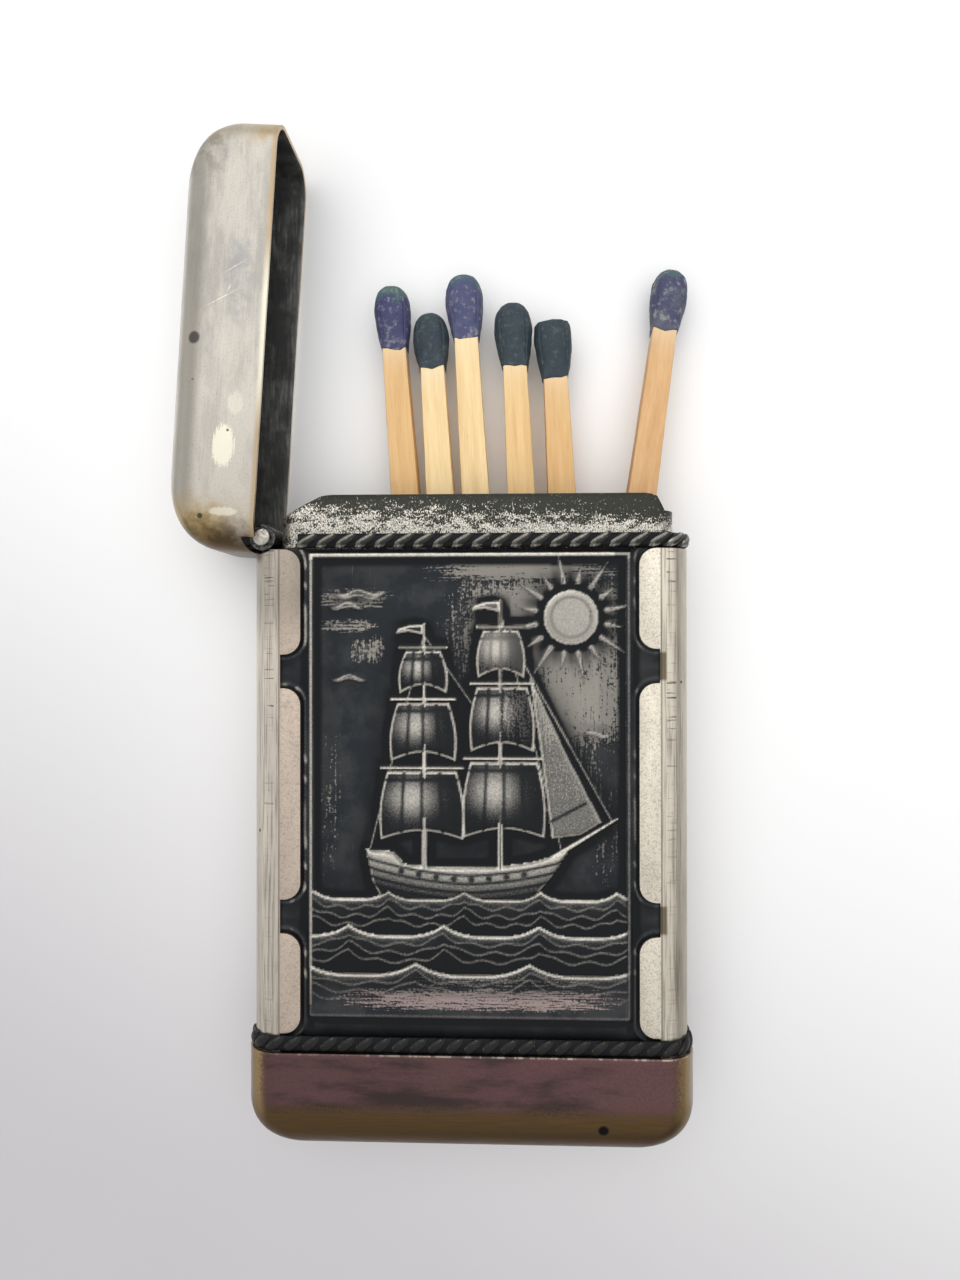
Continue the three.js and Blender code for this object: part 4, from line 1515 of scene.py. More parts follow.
    def sail(
        self, relief: Relief, x: float, foot: float, head: float, half_foot: float, half_head: float,
    ) -> None:
        """One square sail, blown full, with seams.

        Args:
            relief: What it stands on.
            x: Middle of the sail.
            foot: Lower edge above the waterline.
            head: Upper edge above the waterline.
            half_foot: Half its width at the foot.
            half_head: Half its width at the head.
        """
        low, high = self.sea + foot, self.sea + head
        sides = [
            (half_foot + (half_head - half_foot) * t + 0.35 * math.sin(math.pi * t), low + (high - low) * t)
            for t in np.linspace(0, 1, 9)
        ]
        arch = [(half_foot * (1 - 2 * t), low + 0.75 * math.sin(math.pi * t)) for t in np.linspace(0, 1, 11)]
        edge = [(x + a, y) for a, y in sides] + [(x - a, y) for a, y in reversed(sides)]
        edge += [(x - a, y) for a, y in arch[1:-1]]
        depth = relief.inside(edge)
        up, over = (relief.y - low) / (high - low), (relief.x - x) / half_foot
        # Painted light round the swell of the sail's belly, and painted shade towards its edges and foot
        swell = np.exp(-(((up - 0.62) / 0.30) ** 2) - ((over + 0.25) / 0.62) ** 2)
        relief.raise_to(depth, 0.26 + 0.12 * swell, 0.55, 0.75, 0.06 + 0.56 * swell, 0.85 * (1 - swell))
        within = depth > 0.12
        spread = half_foot + (half_head - half_foot) * np.clip(up, 0, 1)
        for seam in (-0.5, 0.0, 0.5):
            relief.groove(np.abs(relief.x - x - seam * spread), np.where(within, 0.025, 0.0), 0.14)
        relief.groove(np.abs(relief.y - high + 0.75), np.where(within, 0.03, 0.0), 0.13)

    def jib(self, relief: Relief) -> None:
        """The triangular sail at the bow.

        Args:
            relief: What it stands on.
        """
        depth = relief.inside([(x, y + self.sea) for x, y in self.bow_sail])
        relief.raise_to(depth, 0.32, 0.5, 0.75, 0.36, 0.4)
        seam = np.abs(relief.along((6.6, self.sea + 6.6), (9.6, self.sea + 8.2), 0, 0))
        relief.groove(seam, np.where(depth > 0.1, 0.04, 0.0), 0.12)

    def ship_hull(self, relief: Relief) -> None:
        """The hull with its rail, planks and a row of ports.

        Args:
            relief: What it stands on.
        """
        points = [(x, y + self.sea) for x, y in self.hull]
        depth = relief.inside(points)
        deck = self.sea + 2.75 + 0.016 * relief.x ** 2 + 0.03 * np.abs(relief.x)
        # Painted light near the deck and painted shade lower down the hull
        low = np.clip((deck - relief.y) / 3.0, 0, 1)
        relief.raise_to(depth, 0.42, 0.4, 0.8, 0.60 * (1 - low) ** 0.7, 0.2 + 0.7 * low)
        within = depth > 0.05
        for drop, deep in ((0.55, 0.07), (1.25, 0.05), (1.95, 0.05), (2.6, 0.05)):
            relief.groove(np.abs(relief.y - deck + drop), np.where(within, deep, 0.0), 0.11)
        for port in range(8):
            x = -5.6 + port * 1.45
            y = self.sea + 2.75 + 0.016 * x * x + 0.03 * abs(x) - 0.9
            away = np.hypot(relief.x - x, relief.y - y)
            relief.groove(np.maximum(away - 0.12, 0), np.where(within, 0.14, 0.0), 0.13)

    def wave(
        self, relief: Relief, level: float, swell: float, pitch: float, shift: float, rise: float,
    ) -> None:
        """One row of waves with curling crests and lines of foam.

        Args:
            relief: What it stands on.
            level: Its level above the frame's lower line.
            swell: Height of the crests.
            pitch: Distance from crest to crest.
            shift: Place of the first crest.
            rise: How far the row stands out.
        """
        lean = 0.35 * np.sin(2 * np.pi * (relief.x + shift) / pitch)
        trough = np.abs(np.sin(np.pi * (relief.x + lean + shift) / pitch))
        crest = SIZES.frame_y0 + level + swell * (1 - trough) ** 1.4
        under = crest - relief.y
        row = rise * relief.shoulder(under, 0.3) * (1.18 - 0.18 * np.clip(under / 1.2, 0, 1))
        relief.height = np.where(under > 0, row, relief.height)
        foam = 0.7 * np.exp(-(((under - 0.16) / 0.12) ** 2))
        crown = np.maximum(foam, 0.5 * np.exp(-np.clip(under, 0, 9) / 0.55))
        relief.proud = np.where(under > 0, crown, relief.proud)
        # Painted shadow, darkening from each crest down towards the row below
        relief.dark_and_shade = np.where(under > 0, np.clip(0.25 + under / 2.4, 0, 0.95), relief.dark_and_shade)
        for depth, lift in ((0.75, 0.04), (1.45, 0.035), (2.15, 0.03)):
            sway = 0.16 * np.sin(2 * np.pi * relief.x / (pitch * 0.37) + shift + depth * 3)
            relief.ridge(under - depth - sway, np.where(under > 0.2, lift, 0.0), 0.15, 0.36)


@dataclass
class Panels:
    """The two stamped panels: frame line, recessed bed round the bands' lobes, and a relief.

    The rows of drags and sweeps are polished places: middle, half sizes and strength.
    """

    columns: int = 252
    rows: int = 318
    low_y: float = 8.0
    line_rise: float = 0.24
    oval_half_x: float = 8.5
    oval_half_y: float = 12.0
    drags: Rows = (
        (6.0, 43.2, 7.4, 4.6, 0.96), (9.2, 37.2, 4.4, 4.0, 0.84), (4.6, 37.0, 2.6, 3.6, 0.54),
        (8.6, 31.5, 3.4, 3.4, 0.38), (11.4, 27.0, 1.6, 6.0, 0.36), (-11.6, 29.0, 1.0, 7.0, 0.34),
        (-8.4, 41.6, 1.5, 1.2, 0.62),
    )
    sweeps: Rows = (
        (4.5, 48.2, 7.5, 1.0, 0.85), (-9.6, 45.9, 3.0, 0.9, 0.62), (-10.3, 43.6, 2.6, 0.7, 0.58),
        (7.5, 46.2, 6.0, 1.0, 0.72), (1.0, 12.7, 12.0, 1.0, 0.74), (3.0, 14.2, 9.0, 0.7, 0.42),
    )
    picture: ShipPicture = field(default_factory=ShipPicture)

    def lobes(self, relief: Relief) -> np.ndarray:
        """Distance out from the nearest lobe of the bands.

        Args:
            relief: The grid.

        Returns:
            The distance, negative under a lobe.
        """
        nearest = np.full(relief.x.shape, np.inf)
        for side in (-1, 1):
            (a, b), (c, d) = SIZES.notches(side)
            for low, high in ((SIZES.panel_y0 - 0.3, a), (b, c), (d, SIZES.panel_y1 + 0.3)):
                radius = SIZES.lobe_round
                px = SIZES.lobe_x + radius - side * relief.x
                py = np.abs(relief.y - (low + high) / 2) - ((high - low) / 2 - radius)
                corner = np.hypot(np.maximum(px, 0), np.maximum(py, 0))
                away = corner + np.minimum(np.maximum(px, py), 0) - radius
                nearest = np.minimum(nearest, away)
        return nearest

    def border(self, relief: Relief) -> None:
        """Frame line, bed of the lobes and the strip below the picture.

        Args:
            relief: The panel's heights.
        """
        x, y = np.abs(relief.x), relief.y
        across = SIZES.frame_half_x - 0.17 - x
        along = np.minimum(y - SIZES.frame_y0 - 0.17, SIZES.frame_y1 - 0.17 - y)
        inward = np.minimum(across, along)
        outside = inward < -0.2
        relief.height = np.where(outside, -0.02, relief.height)
        away = self.lobes(relief)
        broken = np.clip(np.sin(y * 1.9 + 2.6 * np.sin(y * 0.8) + np.sin(relief.x * 5)), 0, 1)
        relief.ridge(away - 0.34, np.where(outside, 0.13, 0.0), 0.17, 0.2 + 0.38 * broken)
        relief.ridge(away + 0.02, np.where(outside, -0.10, 0.0), 0.16)
        beyond = np.where(inward > -0.3, np.abs(inward), 9.0)
        line = self.line_rise * np.sqrt(np.clip(1 - (beyond / 0.24) ** 2, 0, 1))
        relief.height = np.maximum(relief.height, line)
        # The top frame line is painted brighter than the others, as painted light
        shine = np.where(y > SIZES.frame_y1 - 0.5, 1.0, 0.62)
        relief.proud = np.maximum(relief.proud, shine * np.exp(-((beyond / 0.15) ** 2)))
        strip = np.where(outside & (y < SIZES.frame_y0), np.abs(y - SIZES.panel_y0 - 0.75), 9.0)
        relief.ridge(strip, np.where(x < 13.0, 0.05, 0.0), 0.35, 0.12)

    def cartouche(self, relief: Relief) -> None:
        """A blank oval in a beaded ring, with fluting round it.

        Args:
            relief: The panel's heights.
        """
        middle = (SIZES.frame_y0 + SIZES.frame_y1) / 2
        x, y = relief.x / self.oval_half_x, (relief.y - middle) / self.oval_half_y
        oval, turn = np.hypot(x, y), np.arctan2(y, x)
        belt = np.clip((oval - 1.02) / 0.2, 0, 1) * np.clip((1.62 - oval) / 0.2, 0, 1)
        flutes = 0.09 * (0.5 + 0.5 * np.cos(turn * 44)) * belt
        relief.height = np.maximum(relief.height, flutes)
        relief.proud = np.maximum(relief.proud, flutes * 5)
        relief.raise_to((1 - oval) * self.oval_half_x, 0.22, 0.8)
        beads = 0.10 * (0.6 + 0.4 * np.cos(turn * 72))
        relief.ridge((oval - 0.93) * self.oval_half_x, beads, 0.28, 0.55)

    def sheet(self, front: bool) -> Piece:
        """Stamp one panel.

        Args:
            front: True for the picture, False for the back.

        Returns:
            The panel, closed, with its painted numbers.
        """
        clear()
        height = SIZES.panel_y1 - self.low_y
        middle = (0, self.low_y + height / 2, 0)
        bpy.ops.mesh.primitive_grid_add(
            x_subdivisions=self.columns, y_subdivisions=self.rows, size=2, location=middle
        )
        bpy.context.object.scale = (SIZES.panel_half_x, height / 2, 1)
        obj = settle()
        places = read_points(obj)
        order = np.lexsort((places[:, 0].round(4), places[:, 1].round(4)))
        shape = (self.rows + 1, self.columns + 1)
        relief = Relief(places[order, 0].reshape(shape), places[order, 1].reshape(shape))
        if front:
            self.picture.carve(relief)
        else:
            self.cartouche(relief)
        inside = self.framed(relief, 0.1, 0.0)
        relief.height = np.where(inside, relief.height, 0.0)
        relief.proud, relief.dark_and_shade = (np.where(inside, values, 0.0) for values in (relief.proud, relief.dark_and_shade))
        self.border(relief)
        relief.height = np.clip(relief.height, -0.2, 0.44)
        places[order, 2] = SIZES.panel_face_z + relief.height.ravel()
        move_points(obj, places)
        for name, values in self.wear(relief).items():
            painted = np.zeros(len(places))
            painted[order] = values.ravel()
            paint(obj, name, painted)
        self.back_off(obj)
        return obj

    @staticmethod
    def framed(relief: Relief, inset_x: float, inset_y: float) -> np.ndarray:
        """Where the grid lies inside the frame line, with insets across and along the case."""
        across = np.abs(relief.x) < SIZES.frame_half_x - inset_x
        return across & (relief.y > SIZES.frame_y0 + inset_y) & (relief.y < SIZES.frame_y1 - inset_y)

    def wear(self, relief: Relief) -> dict[str, np.ndarray]:
        """Numbers for the finish: what is worn bright, with painted highlights; what is black, with painted
        shade; and where the ground is polished.

        Args:
            relief: The finished heights.

        Returns:
            One array for each painted name.
        """
        round_it, wide = (self.blur(relief.height, reach) for reach in (6, 18))
        x, y = relief.x, relief.y
        framed = self.framed(relief, 0.45, 0.45)
        # Outside the frame the right side and the bottom are painted duller, as painted light
        rub_and_highlight = relief.proud * np.where(framed, 1.0, np.where((x > 12.0) | (y < SIZES.frame_y0 + 1), 0.6, 1.0))
        # Black in recesses where the oxide lies, and painted shade on the ground beside raised forms; the
        # shapes' own black and painted shade are added after
        black_and_shade = np.clip((round_it - relief.height) / 0.05, 0, 1) + np.clip(wide / 0.12, 0, 0.6)
        dark_and_shade = relief.dark_and_shade * np.clip((y - 12.6) / 1.6, 0, 1)
        black_and_shade = np.maximum(np.clip(black_and_shade, 0, 1) * (relief.height < 0.08), dark_and_shade)
        fields = {"drag": self.drags, "sweep": self.sweeps}
        worn = {"rub_and_highlight": rub_and_highlight, "black_and_shade": black_and_shade}
        for name, spots in fields.items():
            worn[name] = np.zeros_like(x)
            for px, py, wide_x, wide_y, most in spots:
                there = most * np.exp(-(((x - px) / wide_x) ** 4) - ((y - py) / wide_y) ** 4)
                worn[name] = np.maximum(worn[name], there * framed)
        return worn

    @staticmethod
    def blur(height: np.ndarray, reach: int) -> np.ndarray:
        """Average over a square of neighbours.

        Args:
            height: Heights on the grid.
            reach: Neighbours to each side.

        Returns:
            The averaged heights.
        """
        result = height
        for axis in (0, 1):
            margins = [(reach + 1, reach) if other == axis else (0, 0) for other in (0, 1)]
            padded = np.pad(result, margins, mode="edge")
            total = np.cumsum(padded, axis=axis)
            ahead = np.take(total, range(2 * reach + 1, total.shape[axis]), axis=axis)
            behind = np.take(total, range(0, total.shape[axis] - 2 * reach - 1), axis=axis)
            result = (ahead - behind) / (2 * reach + 1)
        return result

    def back_off(self, obj: Piece) -> None:
        """Run the sheet down into the base cap and close its back.

        Args:
            obj: The stamped sheet.
        """
        edit(obj)
        pick(obj, Pick.EDGES, lambda middle: abs(middle.y - self.low_y) < 0.001)
        pull((0, SIZES.foot_y - self.low_y, 0))
        bpy.ops.mesh.select_all(action="DESELECT")
        bpy.ops.mesh.select_mode(type="EDGE")
        bpy.ops.mesh.select_non_manifold()
        pull((0, 0, -0.1))
        bpy.ops.transform.resize(value=(1, 1, 0), center_override=(0, 0, SIZES.panel_back_z))
        bpy.ops.mesh.edge_face_add()
        clear()

    def build(self, finish: Material) -> None:
        """Model both panels and dress them.

        Args:
            finish: Their finish.
        """
        front = self.sheet(True)
        deliver(front, "picture_panel", Body.CASE.value, [finish], ["front_panel"], ROUNDED)
        back = self.sheet(False)
        only(back)
        back.rotation_euler = (0, math.pi, 0)
        settle()
        deliver(back, "plain_panel", Body.CASE.value, [finish], ["back_panel"], ROUNDED)


@dataclass
class Rope:
    """A moulding of twisted strands laid round the case over a plain core.

    Its looks are ridge, how bright the painted highlight along each strand's upper flank is; tip, how bright
    the painted glint at each strand's lower end is; dark, how black the rest is; and glint, how much of it
    shines in grains.
    """

    name: str
    node: str
    low_y: float
    height: float
    half_x: float
    centre_x: float
    depth: float
    seat: float
    pitch: float
    tilt: float
    ridge: float
    tip: float
    dark: float
    start_x: float | None = None
    glint: float = 0.11
    half_z: float = SIZES.cap_half_z
    radius: float = SIZES.edge_radius
    steps: int = 24

    def path(self) -> tuple[list[tuple[Vector, Vector]], float]:
        """Points along the middle of the moulding's face with the way out at each.

        Returns:
            Closely set points, each with its outward direction, and the length of the path.
        """
        corners = [(1, 1, 0), (1, -1, -90), (-1, -1, -180), (-1, 1, -270)]
        points = []
        for sx, sz, turn in corners:
            cx, cz = self.centre_x + sx * (self.half_x - self.radius), sz * (self.half_z - self.radius)
            for step in range(self.steps + 1):
                angle = math.radians(90 + turn - 90 * step / self.steps)
                out = Vector((math.cos(angle), 0, math.sin(angle)))
                points.append((Vector((cx, 0, cz)) + out * self.radius, out))
        if self.start_x is None:
            points.append(points[0])
        else:
            kept = points[:2 * (self.steps + 1)]
            front = Vector((self.start_x, 0, self.half_z))
            back = Vector((self.start_x, 0, -self.half_z))
            points = [(front, Vector((0, 0, 1))), *kept, (back, Vector((0, 0, -1)))]
        length = sum((b[0] - a[0]).length for a, b in zip(points, points[1:]))
        return points, length

    def strand(self) -> Piece:
        """One strand: a long bead, pointed at both ends and bent round the core.

        Returns:
            The strand along X, with its outer side up.
        """
        clear()
        turn = (0, math.pi / 2, 0)
        bpy.ops.mesh.primitive_uv_sphere_add(segments=14, ring_count=10, radius=1, rotation=turn)
        obj = settle()
        places = read_points(obj)
        reach = np.clip(np.abs(places[:, 0]), 0, 1)
        half = self.height / 2 / math.sin(math.radians(self.tilt)) * 0.98
        wide = self.pitch * math.sin(math.radians(self.tilt)) * 0.52
        places[:, 1] *= wide
        places[:, 2] = places[:, 2] * self.depth * 0.62 - self.depth * 0.55 * reach ** 2.2
        places[:, 0] *= half
        move_points(obj, places)
        edit(obj)
        mark_all()
        bpy.ops.transform.rotate(value=-math.radians(self.tilt), orient_axis="Z", center_override=(0, 0, 0))
        clear()
        top = read_points(obj)
        if np.corrcoef(top[:, 0], top[:, 1])[0, 1] < 0:
            top[:, 0] = -top[:, 0]
            move_points(obj, top)
            face_out(obj)
        over, up, out = read_points(obj).T
        across = (up * math.cos(math.radians(self.tilt)) - over * math.sin(math.radians(self.tilt))) / wide
        # A painted highlight along the strand's upper flank and a painted glint at its lower end
        crest = np.exp(-(((across - 0.43) / 0.25) ** 2)) * (out > 0)
        foot = np.clip((-up / (self.height / 2) - 0.55) / 0.3, 0, 1)
        end = foot * np.clip(out / (self.depth * 0.3) + 0.6, 0, 1)
        paint(obj, "rub_and_highlight", np.maximum(crest * self.ridge, end * self.tip))
        paint(obj, "black_and_shade", np.full(len(out), self.dark))
        paint(obj, "speck", np.full(len(out), self.glint))
        return obj

    def places(self) -> list[Matrix]:
        """Where the strands lie.

        Returns:
            One matrix for each strand.
        """
        points, length = self.path()
        count = round(length / self.pitch)
        places = []
        middle = self.low_y + self.height / 2
        for index in range(count):
            target = (index + 0.5) * length / count
            for (a, out_a), (b, out_b) in zip(points, points[1:]):
                run = (b - a).length
                if run > 0 and target <= run:
                    share = target / run
                    out = out_a.lerp(out_b, share).normalized()
                    spot = a.lerp(b, share) - out * self.depth * 0.62
                    break
                target -= run
            up = Vector((0, 1, 0))
            side = up.cross(out)
            turn = Matrix((side, up, out)).transposed().to_4x4()
            places.append(Matrix.Translation((spot.x, middle, spot.z)) @ turn)
        return places

    def core(self) -> Piece:
        """The plain bead under the strands.

        Returns:
            The core, closed.
        """
        def level(y: float, inset: float) -> tuple[float, float, float]:
            """One level of the bead, with an inset from its face."""
            return y, self.half_x - inset, self.half_z - inset

        high = self.low_y + self.height
        soft = self.height * 0.22
        levels = [
            level(self.low_y + 0.02, self.seat), level(self.low_y + 0.02, self.depth * 0.78),
            level(self.low_y + soft, self.depth * 0.5), level(high - soft, self.depth * 0.5),
            level(high - 0.02, self.depth * 0.78), level(high - 0.02, self.seat),
        ]
        first, half_x, half_z = levels[0]
        obj = outline(half_x, half_z, self.radius - self.depth * 0.5, first, self.centre_x, 6)
        draw_out(levels, self.centre_x)
        ends = (first, levels[-1][0])
        near_x, near_z = half_x * 0.5, self.half_z * 0.5

        def is_end(middle: Vector) -> bool:
            """Whether a face is one of the two flat ends."""
            flat = min(abs(middle.y - y) for y in ends) < 0.001
            return flat and abs(middle.x - self.centre_x) < near_x and abs(middle.z) < near_z

        drop_faces(obj, is_end)
        bpy.ops.mesh.select_mode(type="EDGE")
        bpy.ops.mesh.select_all(action="DESELECT")
        bpy.ops.mesh.select_non_manifold()
        bpy.ops.mesh.bridge_edge_loops()
        if self.start_x is not None:
            mark_all()
            start = (self.start_x, 0, 0)
            bpy.ops.mesh.bisect(plane_co=start, plane_no=(1, 0, 0), use_fill=True, clear_inner=True)
        face_out(obj)
        paint(obj, "rub_and_highlight", np.zeros(len(obj.data.vertices)))
        paint(obj, "black_and_shade", np.ones(len(obj.data.vertices)))
        return obj

    def build(self, finish: Material) -> None:
        """Lay the rope and dress it.

        Args:
            finish: Its finish.
        """
        strands = copies(self.strand(), self.places())
        obj = join([self.core(), strands])
        places = read_points(obj)
        places[:, 1] = np.clip(places[:, 1], self.low_y, self.low_y + self.height)
        move_points(obj, places)
        deliver(obj, self.name, Body.CASE.value, [finish], [self.node], ROUNDED)


@dataclass
class NeckCollar:
    """The collar that the lid closes over: tall at front and back, low at the ends."""

    centre_x: float = 0.525
    half_x: float = 16.525
    radius: float = 1.8
    skirt_half_z: float = 4.25
    top_y: float = 54.6
    ledge_y: float = 53.1
    slope_width: float = 3.8
    slope_drop: float = 2.1
    margin: float = 0.6
    step: float = 0.85
    step_slant: float = 0.75
    peak_round: float = 0.7
    merge: float = 0.03
    edge: float = 0.06

    def build(self, finish: Material) -> None:
        """Model the collar and dress it.

        Args:
            finish: Its finish.
        """
        face = SIZES.panel_face_z
        rows = (
            (46.15, self.skirt_half_z), (49.7, self.skirt_half_z), (50.15, face), (51.2, face),
            (51.8, face + 0.03), (52.4, face + 0.02), (52.9, face - 0.01), (53.4, face - 0.06),
            (53.8, face - 0.13), (54.15, face - 0.22), (54.4, face - 0.31), (self.top_y, face - 0.40),
        )
        levels = [(y, self.half_x, half_z) for y, half_z in rows]
        obj = outline(self.half_x, self.skirt_half_z, self.radius, levels[0][0], self.centre_x, 8)
        draw_out(levels, self.centre_x)
        ends = (levels[0][0], self.top_y)
        drop_faces(obj, lambda middle: min(abs(middle.y - y) for y in ends) < 0.001)
        face_out(obj)
        modify(obj, "SOLIDIFY", thickness=SIZES.sheet, offset=-1, use_even_offset=True)
        left, right = self.centre_x - self.half_x, self.centre_x + self.half_x
        slant = -self.step_slant * (1 + self.margin / (self.top_y - self.ledge_y))
        cut_out(obj, self.corner_tool(right - self.step, right + 1, slant, self.ledge_y))
        lean = self.slope_width * (1 + self.margin / self.slope_drop)
        cut_out(obj, self.corner_tool(left - 1, left, lean, self.top_y - self.slope_drop))
        edit(obj)
        peaks = (left + self.slope_width, right - self.step - self.step_slant)
        pick(
            obj, Pick.EDGES,
            lambda middle: min(abs(middle.x - x) for x in peaks) < 0.15 and abs(middle.y - self.top_y) < 0.12,
        )
        bpy.ops.mesh.bevel(offset=self.peak_round, segments=5, affect="EDGES")
        mark_all()
        bpy.ops.mesh.remove_doubles(threshold=self.merge)
        clear()
        soften(obj, self.edge)
        self.wear(obj)
        deliver(obj, "collar", Body.CASE.value, [finish], ["neck_collar"])

    def wear(self, obj: Piece) -> None:
        """Paint the fine silver grains: thick above the rope, thinner higher up and to the right.

        Args:
            obj: The collar.
        """
        x, y, _ = read_points(obj).T
        low = 0.66 * np.exp(-(((y - 51.6) / 0.95) ** 2))
        high = 0.42 * np.clip((8.0 - x) / 12, 0, 1) * np.clip((54.3 - y) / 1.2, 0, 1)
        paint(obj, "speck", np.maximum(low, high) + 0.17)
        paint(obj, "rub_and_highlight", np.clip((y - (self.top_y - 0.12)) / 0.1, 0, 1) * 0.2)

    def corner_tool(self, x0: float, x1: float, slant: float, y: float) -> Piece:
        """A wedge that takes one upper corner off the collar.

        Args:
            x0: Its left side at the foot.
            x1: Its right side at the foot.
            slant: How far the side towards the middle leans over at the top.
            y: Its foot.

        Returns:
            The wedge.
        """
        obj = block((x0, y, -THROUGH), (x1, self.top_y + self.margin, THROUGH))
        inner = x0 if slant < 0 else x1
        edit(obj)
        pick(obj, Pick.VERTS, lambda place: abs(place.x - inner) < 0.01 and place.y > y + 0.1)
        bpy.ops.transform.translate(value=(slant, 0, 0))
        clear()
        return obj


@dataclass
class Hinge:
    """Pin with its hammered heads; leaves, spring and rivet keep their solids and get finishes."""

    pin: float = 0.5
    head: float = 0.72
    head_thick: float = 0.4
    head_round: float = 0.16
    dent: float = 0.05
    shank_inset: float = 0.2
    end_z: float = 4.8

    def build(self, dark: Material, pin: Material, steel: Material) -> None:
        """Model the pin and dress the rest.

        Args:
            dark: Finish of the leaves.
            pin: Finish of the pin.
            steel: Finish of spring and rivet.
        """
        x, y = SIZES.hinge_x, SIZES.hinge_y
        end = self.end_z - self.shank_inset
        shank = rod(self.pin, (x, y, -end), (x, y, end), 24)
        heads = [self.pin_head(x, y, side) for side in (-1, 1)]
        obj = join([shank, *heads])
        deliver(obj, "pin_with_heads", Body.CASE.value, [pin], ["hinge_pin"])
        finishes = {
            "case_hinge_leaf": dark, "lid_hinge_leaf": dark, "lid_spring": steel, "spring_rivet": steel,
        }
        for name, finish in finishes.items():
            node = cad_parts[name]
            node.data.materials.clear()
            node.data.materials.append(finish)

    def pin_head(self, x: float, y: float, side: int) -> Piece:
        """A domed head, a little out of round from the hammer.

        Args:
            x: Pin axis.
            y: Pin axis.
            side: 1 for the front head, -1 for the back one.

        Returns:
            The head.
        """
        low, high = sorted((side * (self.end_z - self.head_thick), side * self.end_z))
        obj = rod(self.head, (x, y, low), (x, y, high), 28)
        soften(obj, self.head_round, 4)
        places = read_points(obj)
        for row in places:
            lump = noise.noise(Vector(row) * 2.2)
            row[0] += self.dent * lump * (row[0] - x) / self.head
            row[1] += self.dent * lump * (row[1] - y) / self.head
        move_points(obj, places)
        return obj


@dataclass
class Lid:
    """The drawn lid, modelled shut about the pin axis and then swung open."""

    pin_room: float = 5.1
    corner_clear: float = 1.6
    edge: float = 0.07
    cup: DrawnCup = field(default_factory=lambda: DrawnCup(
        rim_y=0.5, end_y=8.39, half_x=SIZES.band_half_x, half_z=SIZES.cap_half_z,
        round_x=5.2, round_y=4.8, round_z=2.5, face_y=2.8, centre_x=16.95,
    ))

    def build(self, finish: Material, inside: Material) -> None:
        """Model the lid and dress it.

        Args:
            finish: Outer finish.
            inside: Finish of the inner side.
        """
        obj = self.cup.build()
        room = rod(self.corner_clear, (0, 0, -self.pin_room), (0, 0, self.pin_room))
        cut_out(obj, room)
        soften(obj, self.edge)
        only(obj)
        obj.rotation_euler = (0, 0, math.radians(SIZES.lid_open))
        obj.location = (SIZES.hinge_x, SIZES.hinge_y, 0)
        settle()
        deliver(obj, "lid_cup", Body.LID.value, [finish, inside], ["lid_shell"])


class Head(Enum):
    """Looks of the match heads."""

    PURPLE_GREEN_TIP = "purple_green_tip"
    PURPLE_BLUE_TIP = "purple_blue_tip"
    MOTTLED = "mottled"
    TEAL = "teal"


